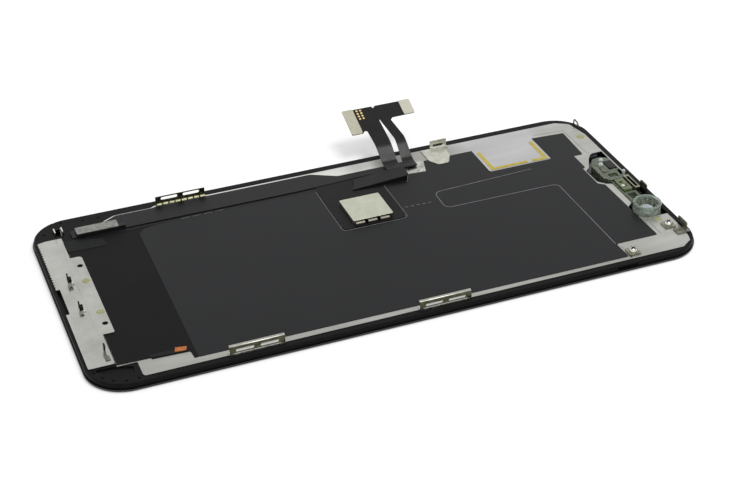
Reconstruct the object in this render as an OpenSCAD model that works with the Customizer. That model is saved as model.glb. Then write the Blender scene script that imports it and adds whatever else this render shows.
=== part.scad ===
// Phone display assembly lying face down: cover glass below, metal back and cables above.
// X runs along the phone towards the earpiece end, Y across it, Z away from the screen.
// The origin is the middle of the front face of the cover glass.

/* [Cover glass] */
// Length of the cover glass
glass_l = 154.8; // [150:0.1:162]
// Width of the cover glass
glass_w = 74.6; // [73:0.1:79]
// Corner radius of the cover glass, seen from the front
glass_r = 9.8; // [8:0.1:11]
// Thickness of the cover glass
glass_t = 0.8; // [0.6:0.05:1.1]
// Radius of the rounded front edge of the glass
glass_edge_r = 0.5; // [0.2:0.05:0.55]
// Length of the earpiece slot in the glass
ear_slot_l = 8.4; // [6:0.1:9]
// Width of the earpiece slot in the glass
ear_slot_w = 0.9; // [0.6:0.05:1]

/* [Panel layers] */
// Thickness of the optical adhesive between glass and panel
adhesive_t = 0.1; // [0.08:0.01:0.2]
// Thickness of each polariser
polariser_t = 0.1; // [0.08:0.01:0.15]
// Thickness of the liquid crystal cell
cell_t = 0.4; // [0.3:0.05:0.6]
// Thickness of the diffuser and prism films
films_t = 0.15; // [0.1:0.01:0.2]
// Thickness of the light guide plate
guide_t = 0.35; // [0.3:0.05:0.5]
// Gap between the panel layers and the frame round them
panel_gap = 0.2; // [0.1:0.05:0.3]
// Distance from the ends of the panel's lower edge to the ends of the diode strip
led_margin = 2.4; // [1.5:0.1:4]
// Width of one light emitting diode along the strip
led_w = 2.4; // [1.8:0.1:3]
// Spacing of the diodes along the strip
led_pitch = 4.2; // [3.6:0.1:5]

/* [Frame] */
// How far the frame's outer wall stands in from the glass edge
frame_inset = 0.35; // [0.2:0.05:0.6]
// Height of the frame's ledge above the seat of the back plate
ledge_rise = 0.1; // [0.05:0.01:0.2]
// Radius of the frame's outer top edge
frame_edge_r = 0.3; // [0.15:0.05:0.4]
// Width of the lip that carries the back plate
lip_w = 1.2; // [0.9:0.05:1.4]
// Depth of the pockets under the side clips
clip_pocket = 0.4; // [0.25:0.05:0.6]
// Diameter of the small dimples in the frame corners
dimple_d = 0.7; // [0.5:0.05:0.9]

/* [Back plate] */
// Thickness of the steel back plate
plate_t = 0.25; // [0.2:0.01:0.35]
// Frame ledge left bare along the near side, from the glass edge
ledge_near = 1.9; // [1.8:0.05:2.4]
// Frame ledge left bare along the far side, from the glass edge
ledge_far = 3; // [2.6:0.05:3.4]
// Frame ledge left bare at the earpiece end, from the glass edge
ledge_top = 2.1; // [2:0.05:2.5]
// Distance from the glass edge to the plate at the lower end
plate_start = 7.4; // [7.3:0.05:7.8]
// Clearance between the plate and the frame pocket round it
plate_gap = 0.1; // [0.05:0.01:0.15]
// Far end of the sensor opening, from the long centre line
notch_far = 15; // [14.5:0.1:16.5]
// Near end of the sensor opening, from the long centre line
notch_near = 20.1; // [19.8:0.1:21]

/* [Lower bracket] */
// Thickness of the lower bracket's main part
bracket_t = 0.4; // [0.35:0.01:0.5]
// Thickness of the bracket's tongue over the films
tongue_t = 0.25; // [0.2:0.01:0.3]
// Distance from the glass edge to the bracket's outer edge
bracket_start = 1.1; // [1:0.05:1.4]
// Width of the bracket's main part
bracket_w = 6.1; // [5.8:0.05:6.15]
// Width of the tongue beyond the main part
tongue_w = 2.8; // [2.2:0.05:3.2]
// Distance from the far side of the glass to the bracket's far end
bracket_in_far = 9.7; // [8.8:0.1:11.3]
// Distance from the near side of the glass to the bracket's near end
bracket_in_near = 8.5; // [8.1:0.1:10.3]
// Diameter of the two round holes in the tongue
tongue_hole_d = 1.4; // [1:0.05:1.6]
// Distance from those holes to the ends of the tongue
tongue_hole_in = 4.2; // [2.5:0.1:5]
// Spacing of the fine teeth on the outer edge
tooth_pitch = 1.15; // [0.9:0.05:1.5]

/* [Lugs and hooks] */
// Thickness of the sheet that lugs and hooks are bent from
hook_t = 0.3; // [0.25:0.01:0.35]
// Width of each screw lug
lug_w = 1.6; // [1.5:0.05:2.2]
// Height of each screw lug above the bracket
lug_h = 2.45; // [2.2:0.05:2.8]
// Diameter of the threaded hole in each lug
lug_hole_d = 1; // [0.8:0.05:1.1]
// Spacing of the two screw lugs
lug_spacing = 12.6; // [11:0.1:14]
// Height of the hook in the middle of the earpiece end, above the ledge
hook_b_h = 1.8; // [1.4:0.1:2.2]
// Height of the hook near the corner of the earpiece end, above the ledge
hook_c_h = 1.9; // [1.6:0.1:2.3]

/* [Side clips] */
// Thickness of the clip sheet
clip_t = 0.25; // [0.2:0.01:0.3]
// Height of the clips above the back plate
clip_h = 2.3; // [2:0.05:2.6]
// Width of the flange folded in along the top of a near clip
flange_w = 0.9; // [0.6:0.05:1]
// Width of the foot that is welded to the back plate
foot_w = 1.05; // [0.8:0.05:1.1]
// Length of the long clips
long_clip_l = 13.1; // [12:0.1:14]
// Length of each slot in a long clip
long_slot_l = 4.4; // [3.8:0.1:4.8]
// Height of the slots
slot_h = 0.85; // [0.6:0.05:0.9]
// Length of the short clip
short_clip_l = 4.8; // [4.2:0.1:5.4]
// Number of contact bumps on the foot of the far clip
bump_count = 8; // [6:1:9]

/* [Films and tapes] */
// Thickness of the black films
film_t = 0.1; // [0.06:0.01:0.12]
// Gap left between the large and the lower film
film_gap = 0.02; // [0.01:0.01:0.05]
// Bare plate strip along the near side
near_strip = 1.25; // [1.2:0.05:1.8]
// Width of the gold strip round the bare panel
gold_w = 1.05; // [0.7:0.05:1.2]

/* [Driver board] */
// Side of the square shield can
shield_w = 10.8; // [9.8:0.1:11.4]
// Height of the shield can above the board
shield_h = 1.1; // [0.9:0.05:1.3]
// Wall of the shield can
shield_t = 0.15; // [0.1:0.01:0.2]
// Thickness of the driver board
board_t = 0.25; // [0.2:0.01:0.3]
// Gap between the board and the film window round it
board_gap = 0.1; // [0.05:0.01:0.2]
// Length of each capacitor at the mouth of the shield
cap_l = 2.4; // [2:0.05:2.5]

/* [Flex cables] */
// Thickness of the main flex with its cover
flex_t = 0.35; // [0.25:0.01:0.4]
// Width of the black adhesive that shows along the near edge of the main flex
rim_w = 1; // [0.6:0.05:1.3]
// Height of the grey stiffener block on the flex
block_h = 0.9; // [0.7:0.05:1.1]
// Height of the fold in the branch to the driver board, at its open end
fold_h = 1.25; // [0.8:0.05:1.4]
// Thickness of the free tail
tail_t = 0.16; // [0.12:0.01:0.2]
// Thickness of the stiffener under the tail
stiff_t = 0.3; // [0.25:0.01:0.4]
// Angle at which the tail climbs
lift_angle = 38; // [30:1:45]
// Bend radius at the foot of the climb
lift_r = 3; // [2.5:0.1:4]
// Straight length of the climb
lift_len = 3.4; // [3:0.1:4.5]
// Bend radius at the top of the climb
crest_r = 8; // [6:0.5:10]
// Angle of the tail's head to the screen
head_angle = 21; // [15:1:25]
// Length of the tail's flat head part
head_len = 12.6; // [12.4:0.1:13.5]

/* [Connectors] */
// Thickness of the pale stiffeners behind the connectors
back_t = 0.3; // [0.2:0.01:0.4]
// Width of the connector heads
back_w = 3.15; // [2.9:0.05:3.4]
// Length of the larger connector head
back_a_l = 8.8; // [8:0.1:9]
// Length of the smaller connector head
back_b_l = 5.1; // [4.6:0.1:5.6]
// Height of the connector plugs
plug_h = 0.8; // [0.6:0.05:1]
// Spacing of the plug contacts
pin_pitch = 0.4; // [0.35:0.01:0.5]
// Diameter of the gold test pads
pad_d = 0.62; // [0.4:0.02:0.66]

/* [Sensor holder] */
// Height of the moulded housing round the proximity sensor, above the glass
housing_h = 1.95; // [1.7:0.05:2.2]
// Outer diameter of the camera ring
ring_d = 7.1; // [6.6:0.1:7.3]
// Wall of the camera ring
ring_wall = 0.6; // [0.4:0.05:0.8]
// Height of the camera ring above the glass
ring_h = 3.7; // [3.3:0.1:4]
// Thickness of the holder's floor
floor_t = 0.5; // [0.4:0.05:0.7]
// Distance between the centres of the two rings
ring_spacing = 23.2; // [22.5:0.1:23.6]

/* [Screws] */
// Diameter of the screw heads
head_d = 2.1; // [1.8:0.05:2.4]
// Height of the screw heads
head_h = 0.9; // [0.7:0.05:1.1]
// Diameter of the screw shanks
shank_d = 1.1; // [0.8:0.05:1.2]
// Clearance round each screw shank
shank_gap = 0.08; // [0.05:0.01:0.1]
// Thickness of the nut plates under the screws
nut_t = 0.35; // [0.25:0.01:0.45]

/* [Hidden] */
$fn = 48;
tiny = 0.01;
arc_steps = 6;

// Levels
panel_z = glass_t + adhesive_t;
cell_z = panel_z + polariser_t;
rear_z = cell_z + cell_t;
films_z = rear_z + polariser_t;
guide_z = films_z + films_t;
plate_z = guide_z + guide_t;
ledge_z = plate_z + ledge_rise;
plate_top = plate_z + plate_t;
film_top = plate_top + film_t;
bracket_top = ledge_z + bracket_t;
board_top = plate_top + board_t;
flex_top = plate_top + flex_t;
tail_z = flex_top + stiff_t;
clip_top = plate_top + clip_h;

// Edges of the glass and the lines that other pieces are set out from
x_low = -glass_l / 2;
x_high = glass_l / 2;
y_near = -glass_w / 2;
y_far = glass_w / 2;
plate_x0 = x_low + plate_start;
plate_x1 = x_high - ledge_top;
plate_y0 = y_near + ledge_near;
plate_y1 = y_far - ledge_far;
low_y0 = y_near + 7.5;
low_y1 = y_far - 10.9;
bracket_far = y_far - bracket_in_far;
bracket_near = -y_near - bracket_in_near;
bracket_x0 = x_low + bracket_start;
bracket_x1 = bracket_x0 + bracket_w;
tongue_x1 = bracket_x1 + tongue_w;
film_y0 = plate_y0 + near_strip;
film_y1 = plate_y1 - 8.6;
film_x0 = x_low + 25.5;
notch_x = x_high - 11.2;
notch_deep_x = x_high - 9.4;
notch_x1 = plate_x1 + 0.15;
holder_x = x_high - 5.9;
ring_b_y = -notch_near + ring_d / 2 + 0.25;
ring_a_y = ring_b_y + ring_spacing;
ear_y = -2.6;
ear_x = x_high - 2.85;
tail_x0 = x_high - 60.4;
tail_x1 = tail_x0 + 8.5;
window_x0 = tail_x0 - 20.8;
window_x1 = window_x0 + 17.2;

// Outline helpers: each corner is [x, y, radius]
function unit(v) = v / norm(v);
function flat(v) = [v[0], v[1]];
function corner_arc(before, v, after, r) =
    r <= 0 ? [flat(v)] :
    let (
        a = unit(flat(before) - flat(v)),
        b = unit(flat(after) - flat(v)),
        half = acos(a * b) / 2,
        middle = flat(v) + unit(a + b) * r / sin(half),
        first = flat(v) + a * r / tan(half) - middle,
        last = flat(v) + b * r / tan(half) - middle,
        start = atan2(first[1], first[0]),
        turn = (atan2(last[1], last[0]) - start + 540) % 360 - 180
    )
    [for (i = [0:arc_steps]) let (a = start + turn * i / arc_steps) middle + r * [cos(a), sin(a)]];
function rounded(pts) = let (n = len(pts)) [
    for (i = [0:n - 1]) each corner_arc(pts[(i + n - 1) % n], pts[i], pts[(i + 1) % n], pts[i][2])
];
function box_corners(x0, x1, y0, y1, r) = [[x0, y0, r], [x1, y0, r], [x1, y1, r], [x0, y1, r]];

module slab(pts, z, t) {
    translate([0, 0, z])
        linear_extrude(t)
            polygon(rounded(pts));
}

module pad(x0, x1, y0, y1, z, t, r = 0) {
    slab(box_corners(x0, x1, y0, y1, r), z, t);
}

// A vertical pin or bore
module pin(x, y, z, d, h) {
    translate([x, y, z])
        cylinder(d = d, h = h);
}

// Solid with a section in Y and Z that runs along X
module run_x(x0, x1, section) {
    translate([x0, 0, 0])
        rotate([90, 0, 90])
            linear_extrude(x1 - x0)
                polygon(rounded(section));
}

// Plate with round corners whose lower outer edge is rounded too
module edge_section(reach, t, e) {
    square([reach - e, t]);
    translate([0, e])
        square([reach, t - e]);
    intersection() {
        translate([reach - e, e])
            circle(r = e);
        square([reach, t]);
    }
}

module round_edge_plate(l, w, r, t, e) {
    for (sx = [-1, 1], sy = [-1, 1])
        translate([sx * (l / 2 - r), sy * (w / 2 - r), 0])
            rotate_extrude($fn = 96)
                edge_section(r, t, e);
    for (side = [0, 1]) {
        along = side == 0 ? l - 2 * r : w - 2 * r;
        across = side == 0 ? w / 2 : l / 2;
        rotate([90, 0, side == 0 ? 90 : 0])
            translate([0, 0, -along / 2])
                linear_extrude(along) {
                    edge_section(across, t, e);
                    mirror([1, 0])
                        edge_section(across, t, e);
                }
    }
}

// Outline of the back plate, grown by a clearance
function plate_outline(c) = [
    [plate_x0 - c, low_y0 - c, 0], [x_low + 12 - c, low_y0 - c, 0.3], [x_low + 12 - c, plate_y0 - c, 0.8],
    [plate_x1 - 4 + c, plate_y0 - c, 1.2], [plate_x1 - 2 + c, plate_y0 + 1.5 - c, 0.4],
    [plate_x1 - 1.1 + c, plate_y0 + 2 - c, 0.3], [plate_x1 - 0.6 + c, plate_y0 + 3.6 - c, 0.4],
    [plate_x1 + c, plate_y0 + 6.6 - c, 1], [plate_x1 + c, plate_y1 - 9 + c, 3],
    [plate_x1 - 1.5 + c, plate_y1 - 2 + c, 1.5], [plate_x1 - 5, plate_y1 + c, 2],
    [x_low + 32.7 - c, plate_y1 + c, 0.6], [x_low + 31.6 - c, plate_y1 - 0.7 + c, 0.6],
    [x_low + 22 - c, plate_y1 - 0.7 + c, 3], [x_low + 18.8 - c, plate_y1 - 2.4 + c, 2],
    [x_low + 16 - c, low_y1 + c, 0.5], [plate_x0 - c, low_y1 + c, 0]
];

// Opening over the front camera and the earpiece
function notch_outline(c) = [
    [notch_x1, notch_far + c, 0], [x_high - 5.8, notch_far + c, 2.2],
    [x_high - 7.5 - c, notch_far - 2.3, 1.4], [x_high - 9.7 - c, notch_far - 6.6, 0.6],
    [notch_x - c, notch_far - 8, 1], [notch_x - c, 1, 1.5], [notch_deep_x - c, -1, 0.8],
    [x_high - 7.9 - c, -1.6, 0.5], [x_high - 7.9 - c, ring_b_y + 4.4, 0.6],
    [x_high - 9.75 - c, ring_b_y + 2.8, 1], [x_high - 9.75 - c, -notch_near + 1.8, 0.9],
    [x_high - 8 - c, -notch_near - c, 0.9], [notch_x1, -notch_near - c, 0]
];

// Outline of the layers between glass and back plate, with their own cut for the camera
function panel_outline(c) = [
    [plate_x0 + 0.6 - c, low_y0 + 0.6 - c, 0.4], [x_low + 12 + lip_w - c, low_y0 + 0.6 - c, 0.4],
    [x_low + 12 + lip_w - c, plate_y0 + lip_w - c, 0.6],
    [plate_x1 - 5.6, plate_y0 + lip_w - c, 2.5],
    [plate_x1 - lip_w - 2.2 + c, plate_y0 + lip_w + 1.6 - c, 0.8],
    [plate_x1 - lip_w + c, plate_y0 + lip_w + 5.8, 1], [plate_x1 - lip_w + c, -notch_near - 0.6 + c, 0],
    [notch_x - 0.7 + c, -notch_near - 0.6 + c, 1.5], [notch_x - 0.7 + c, notch_far + 0.6 - c, 1.5],
    [plate_x1 - lip_w + c, notch_far + 0.6 - c, 0], [plate_x1 - lip_w + c, plate_y1 - lip_w - 8, 1],
    [plate_x1 - lip_w - 1.4 + c, plate_y1 - lip_w - 1.6 + c, 1], [plate_x1 - 6, plate_y1 - lip_w + c, 1],
    [x_low + 33.4 - c, plate_y1 - lip_w + c, 0.5], [x_low + 32.3 - c, plate_y1 - lip_w - 0.7 + c, 0.5],
    [x_low + 22.8 - c, plate_y1 - lip_w - 0.7 + c, 1], [x_low + 18 - c, low_y1 - 0.8 + c, 1],
    [plate_x0 + 0.6 - c, low_y1 - 0.8 + c, 0.4]
];

module panel_layer(z, t, inset = 0) {
    slab(panel_outline(-inset), z, t);
}

module cover_glass() {
    color("#17181b")
        difference() {
            round_edge_plate(glass_l, glass_w, glass_r, glass_t, glass_edge_r);
            pad(ear_x - ear_slot_w / 2, ear_x + ear_slot_w / 2, ear_y - ear_slot_l / 2,
                ear_y + ear_slot_l / 2, -1, glass_t + 2, ear_slot_w / 2 - tiny);
        }
}

module optical_adhesive() {
    color("#cfd3d6")
        panel_layer(glass_t, adhesive_t);
}

module front_polariser() {
    color("#26282d")
        panel_layer(panel_z, polariser_t, 0.1);
}

module lcd_cell() {
    color("#5d6a72")
        panel_layer(cell_z, cell_t);
}

module rear_polariser() {
    color("#2b2d33")
        panel_layer(rear_z, polariser_t, 0.1);
}

module backlight_films() {
    color("#f0f1ee")
        panel_layer(films_z, films_t, 0.1);
}

// The diodes stand along the lower end of the light guide
led_bar_w = 1.3;
led_y0 = low_y0 + led_margin;
led_y1 = low_y1 - led_margin;

module light_guide() {
    color("#dfe8ea")
        difference() {
            panel_layer(guide_z, guide_t, 0.1);
            pad(plate_x0, plate_x0 + 0.7 + led_bar_w, led_y0 - 1, led_y1 + 1, guide_z - 1, guide_t + 2);
        }
}

module led_strip() {
    strip_t = 0.1;
    color("#e9dfa8") {
        pad(plate_x0 + 0.8, plate_x0 + 0.6 + led_bar_w, led_y0, led_y1, guide_z, strip_t);
        for (i = [0:floor((led_y1 - led_y0 - led_w) / led_pitch)])
            pad(plate_x0 + 0.9, plate_x0 + 0.5 + led_bar_w, led_y0 + i * led_pitch,
                led_y0 + i * led_pitch + led_w, guide_z, guide_t);
    }
}

// Round pits in the two lower corners of the frame
pit_r = glass_r - 1.6;
near_pits = [for (a = [198:20:278]) [x_low + glass_r + pit_r * cos(a), y_near + glass_r + pit_r * sin(a)]];
far_pits = [[x_low + 3.6, y_far - 6.1], [x_low + 8.7, y_far - 1.9], [x_low + 14.2, y_far - 2.7],
    [x_low + 18.1, y_far - 3]];

module bezel_frame() {
    frame_l = glass_l - 2 * frame_inset;
    frame_w = glass_w - 2 * frame_inset;
    groove_x = x_high - 27.4;
    color("#232325")
        difference() {
            translate([0, 0, ledge_z])
                mirror([0, 0, 1])
                    round_edge_plate(frame_l, frame_w, glass_r - frame_inset, ledge_z - glass_t,
                        frame_edge_r);
            slab(plate_outline(plate_gap), plate_z, ledge_rise + 1);
            slab(panel_outline(panel_gap), glass_t - 1, plate_z + 1);
            pad(notch_x - 0.7, notch_x1 + 0.15, -notch_near - 0.6, notch_far + 0.6, glass_t - 1,
                ledge_z + 1);
            for (p = concat(near_pits, far_pits))
                translate([p[0], p[1], ledge_z])
                    sphere(d = dimple_d, $fn = 24);
            // Slot for the lip that the bracket folds down into the frame
            pad(bracket_x0 + 0.05, bracket_x0 + 1.25, latch_y0 - 0.2, latch_y1 + 0.2,
                ledge_z - latch_deep - 0.1, 2);
            // Pocket of the corner spring
            pad(spring_x - 0.15, spring_x + spring_w + 0.15, plate_y1 - 4.95, plate_y1 - 1.95, spring_z,
                2, 0.2);
            // Shallow recess between the bracket and the near corner
            slab([[bracket_x0 + 0.9, -bracket_near - 0.5, 0.4], [plate_x0 - 0.9, -bracket_near - 0.6, 0.3],
                [plate_x0 + 3.4, low_y0 - 1, 0.4], [plate_x0 + 3.2, low_y0 - 3.4, 0.5],
                [plate_x0 + 0.4, low_y0 - 3.6, 0.8], [bracket_x0 + 2.9, low_y0 - 1.6, 0.8]],
                ledge_z - 0.35, 1);
            // Shallow groove moulded into the near side
            slab([[groove_x, y_near - 1, 0], [groove_x + 8.4, y_near - 1, 0],
                [groove_x + 7.4, y_near + frame_inset + 0.45, 0.3],
                [groove_x + 2.6, y_near + frame_inset + 0.45, 0.3]],
                glass_t + 0.25, 0.7);
            for (c = long_clips)
                clip_pocket(c[0], long_clip_l, c[1]);
            clip_pocket(short_clip_x, short_clip_l, 1);
        }
}

// Lip of the lower bracket, and the spring in the far corner
latch_y0 = -5.4;
latch_y1 = 4.7;
latch_deep = 0.8;
spring_x = x_low + 6;
spring_w = 2.2;
spring_z = ledge_z - 0.8;

// Sheet clips along both sides: [start in X, side], side 1 is far
far_clip_x = x_low + 33.2;
near_clip_1_x = x_low + 31.7;
near_clip_2_x = x_low + 77.9;
short_clip_x = tail_x1 + 7;
long_clips = [[far_clip_x, 1], [near_clip_1_x, -1], [near_clip_2_x, -1]];
clip_clear = 0.12;
fold_r = 0.6;

// Outer face of a clip wall, measured across the phone
function clip_face(side) = (side > 0 ? plate_y1 : -plate_y0) + clip_clear + clip_t;

module on_side(side) {
    if (side < 0)
        mirror([0, 1, 0])
            children();
    else
        children();
}

module clip_pocket(x, l, side) {
    face = clip_face(side);
    on_side(side)
        pad(x - 0.1, x + l + 0.1, face - clip_t - 0.3, face + 0.1, ledge_z - clip_pocket, 2);
}

module side_clip(x, l, side, flange, slots, slot_l, slot_z) {
    face = clip_face(side);
    wall = face - clip_t;
    base = ledge_z - clip_pocket;
    slot_gap = (l - slots * slot_l) / (slots + 1);
    on_side(side)
        difference() {
            run_x(x, x + l, flange > 0 ? [
                [face, base, 0], [face, clip_top, fold_r], [face - flange, clip_top, 0],
                [face - flange, clip_top - clip_t, 0], [wall, clip_top - clip_t, fold_r - clip_t],
                [wall, plate_top + clip_t, 0.1], [wall - foot_w, plate_top + clip_t, 0],
                [wall - foot_w, plate_top, 0], [wall, plate_top, 0], [wall, base, 0]
            ] : [
                [face, base, 0], [face, clip_top, 0.1], [wall, clip_top, 0.1],
                [wall, plate_top + clip_t, 0.1], [wall - foot_w, plate_top + clip_t, 0],
                [wall - foot_w, plate_top, 0], [wall, plate_top, 0], [wall, base, 0]
            ]);
            for (i = [0:slots - 1])
                translate([x + slot_gap + i * (slot_l + slot_gap), face + 1, slot_z])
                    rotate([90, 0, 0])
                        pad(0, slot_l, 0, slot_h, 0, clip_t + 1.4, slot_h / 2 - tiny);
        }
}

module backplate() {
    color("#b4b4af")
        difference() {
            slab(plate_outline(0), plate_z, plate_t);
            slab(notch_outline(0), plate_z - 1, plate_t + 2);
            for (s = screw_spots)
                pin(s[0], s[1], plate_z - 1, shank_d + 2 * shank_gap, plate_t + 2);
            // Pressed slits beside the films
            pad(x_high - 8.55, x_high - 8.3, plate_y0 + 7.4, -notch_near - 0.9, plate_z - 1, plate_t + 2);
            pad(x_high - 20.6, x_high - 20.3, plate_y0 + 0.6, plate_y0 + 5.8, plate_z - 1, plate_t + 2);
            // Scored line beside the films at the far corner
            slab([[bare_x1 + 0.8, plate_y1 - 4.3, 0], [x_high - 6.9, plate_y1 - 4.9, 0.3],
                [x_high - 6.6, notch_far + 1, 0.3], [x_high - 6, notch_far + 0.3, 0],
                [x_high - 5.85, notch_far + 0.4, 0], [x_high - 6.45, notch_far + 1.1, 0.3],
                [x_high - 6.75, plate_y1 - 4.75, 0.4], [bare_x1 + 0.8, plate_y1 - 4.15, 0]],
                plate_top - 0.08, 1);
        }
    // Narrow strip that closes the far end of the sensor opening
    color("#b4b4af")
        pad(plate_x1 - 0.35, plate_x1, ear_y + 6.1, notch_far + 1, plate_z, plate_t);
}

module lower_bracket() {
    hole_x = bracket_x1 + tongue_w * 0.55;
    tongue_y0 = -bracket_near + 11.8;
    tongue_y1 = bracket_far - 10.1;
    teeth = floor((bracket_far - 7) / tooth_pitch);
    color("#b5b6b0")
        difference() {
            union() {
                slab([[bracket_x0, -bracket_near, 0.6], [bracket_x1, -bracket_near, 0.4],
                    [bracket_x1, bracket_far, 0.3], [bracket_x0 + 2.2, bracket_far, 0.3],
                    [bracket_x0, bracket_far - 0.5, 0.3]], ledge_z, bracket_t);
                slab([[bracket_x1 - 1, tongue_y0, 0], [tongue_x1, tongue_y0, 0.4],
                    [tongue_x1, tongue_y1, 0.9], [bracket_x1 - 1, tongue_y1, 0]], film_top, tongue_t);
                pad(bracket_x0 + 0.9, bracket_x0 + 1.15, latch_y0, latch_y1, ledge_z - latch_deep,
                    latch_deep + 0.1);
            }
            for (y = [tongue_y0 + tongue_hole_in, tongue_y1 - tongue_hole_in])
                pin(hole_x, y, film_top - 1, tongue_hole_d, tongue_t + 2);
            pad(bracket_x0 - 1, bracket_x0 + 0.9, latch_y0 - 0.6, latch_y1 + 0.4, ledge_z - 1,
                bracket_t + 2, 0.15);
            for (i = [0:teeth - 1])
                pad(bracket_x0 - 1, bracket_x0 + 0.2, 6 + i * tooth_pitch, 6.45 + i * tooth_pitch,
                    ledge_z - 1, bracket_t + 2);
        }
}

// Screw lug: a blade across the bracket with a threaded boss on its inner side
lug_x = bracket_x0 + 3.2;
lug_mid_y = 0.5;

module screw_lug(y) {
    hole_z = bracket_top + 0.95;
    half = lug_w / 2;
    color("#8d8e89")
        difference() {
            union() {
                pad(lug_x, lug_x + 1.5, y - lug_w / 2, y + lug_w / 2, bracket_top, hook_t);
                translate([lug_x, y, 0])
                    rotate([0, -90, 180])
                        slab([[bracket_top, -half, 0], [bracket_top + lug_h, -half - 0.1, 0.1],
                            [bracket_top + lug_h, -half + 0.4, 0.2], [bracket_top + lug_h * 0.75, 0, 0.3],
                            [bracket_top + 1.1, half, 0.3], [bracket_top, half, 0]], 0, hook_t);
                translate([lug_x, y, hole_z])
                    rotate([0, 90, 0])
                        cylinder(d = lug_hole_d + 0.7, h = hook_t + 0.6);
            }
            translate([lug_x - 1, y, hole_z])
                rotate([0, 90, 0])
                    cylinder(d = lug_hole_d, h = 4);
        }
}

module screw_lug_1() {
    screw_lug(lug_mid_y + lug_spacing / 2);
}

module screw_lug_2() {
    screw_lug(lug_mid_y - lug_spacing / 2);
}

module lower_hook() {
    x = bracket_x1 - 1.4;
    end = bracket_near - 1.4;
    color("#55554e")
        mirror([0, 1, 0]) {
            run_x(x, x + 0.4, [[end - 4, bracket_top, 0], [end - 4, bracket_top + 2.5, 0.4],
                [end - 2.6, bracket_top + 2.5, 0.4], [end - 2.6, bracket_top + 1.9, 0.1],
                [end - 3.2, bracket_top + 1.6, 0.2], [end - 3.2, bracket_top + 0.5, 0.1],
                [end, bracket_top + 0.3, 0], [end, bracket_top, 0]]);
            pad(x - 0.3, x + 0.8, end - 1.9, end, bracket_top, 0.3, 0.2);
        }
}

module corner_spring() {
    top = ledge_z + 1;
    color("#d8d8d2") {
        pad(spring_x, spring_x + spring_w, plate_y1 - 4.8, plate_y1 - 2.1, spring_z, 0.15, 0.2);
        for (x = [spring_x, spring_x + spring_w - hook_t])
            pad(x, x + hook_t, plate_y1 - 4.6, plate_y1 - 2.4, spring_z, top - spring_z);
        pad(spring_x, spring_x + spring_w, plate_y1 - 2.4, plate_y1 - 2.1, spring_z, top - 0.5 - spring_z);
    }
}

// Wire loop at the far corner of the earpiece end
module end_hook_a() {
    color("#a9a9a4")
        translate([x_high - 2.1, plate_y1 - 3.3, ledge_z])
            rotate([0, 0, 12])
                rotate([90, 0, 90])
                    linear_extrude(hook_t)
                        difference() {
                            polygon(rounded([[-1.15, 0, 0], [1.15, 0, 0], [1.05, 1.5, 0.2], [0.6, 1.8, 0.2],
                                [-0.85, 1.1, 0.3]]));
                            polygon([[-0.85, 0.2], [0.88, 0.2], [0.8, 1.35], [0.58, 1.48], [-0.62, 0.9]]);
                        }
}

// Upright latch, coined thinner inside its rim
module end_latch(y, w, h) {
    rim = 0.4;
    color("#8f8f89")
        translate([plate_x1 + 0.55, y, ledge_z])
            rotate([90, 0, 90])
                difference() {
                    linear_extrude(hook_t)
                        polygon(rounded([[-w / 2, 0, 0], [w / 2, 0, 0], [w / 2, h, 0.35],
                            [-w / 2, h, 0.35]]));
                    translate([0, 0, -1])
                        slab(box_corners(rim - w / 2, w / 2 - rim, plate_t + 0.1, h - rim, 0.15), 0,
                            1 + hook_t / 2);
                }
}

module end_hook_b() {
    end_latch(ear_y - 3.9, 3.2, hook_b_h);
}

module end_hook_c() {
    x = plate_x1 + 0.55;
    y = -notch_near - 6.4;
    end_latch(y, 4.1, hook_c_h);
    color("#8f8f89")
        difference() {
            pad(x - 3.2, x + hook_t, y - 3.6, y - 1, plate_top, 0.3, 0.2);
            pin(x - 2, y - 2.3, plate_top - 1, 0.9, 3);
        }
}

// Near edge of the main flex: straight, then slanting away between two points in X
flex_low = film_y1 + 0.6;
slant_x0 = window_x0 - 4.2;
slant_x1 = tail_x0 - 0.2;
slant = 1.1;
flex_x0 = x_low + 9.8;
flex_x1 = tail_x1 - 0.2;
rim_y = flex_low - rim_w;
function slant_y(x) = flex_low + slant * (x - slant_x0) / (slant_x1 - slant_x0);

// Line where the large film meets the lower one, drawn in by a clearance
function film_side(c) = [
    [film_x0 - 0.4 + c, film_y0 + 0.85, 0.2], [film_x0 + 0.3 + c, film_y1 - 3.4, 1],
    [film_x0 + 1.7 + c, film_y1 - 1.4 - c, 1.5], [film_x0 + 6.3, film_y1 - 0.6 - c, 2],
    [film_x0 + 13.9, rim_y - c, 0]
];

// Window in the large film round the driver board, and the pocket beside it under the folded branch
window_y0 = film_y1 - 21.9;
window_y1 = film_y1 + 2;
pocket_x1 = window_x1 + 6.55;
pocket_deep = 5.9;

// Foil beside the foot of the tail
foil_x0 = tail_x0 + 5;
foil_x1 = foil_x0 + 4.8;

// Bare area that holds the gold strip
bare_x0 = short_clip_x + 9.9;
bare_x1 = x_high - 16.8;
bare_y0 = plate_y1 - 17.8;

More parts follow.
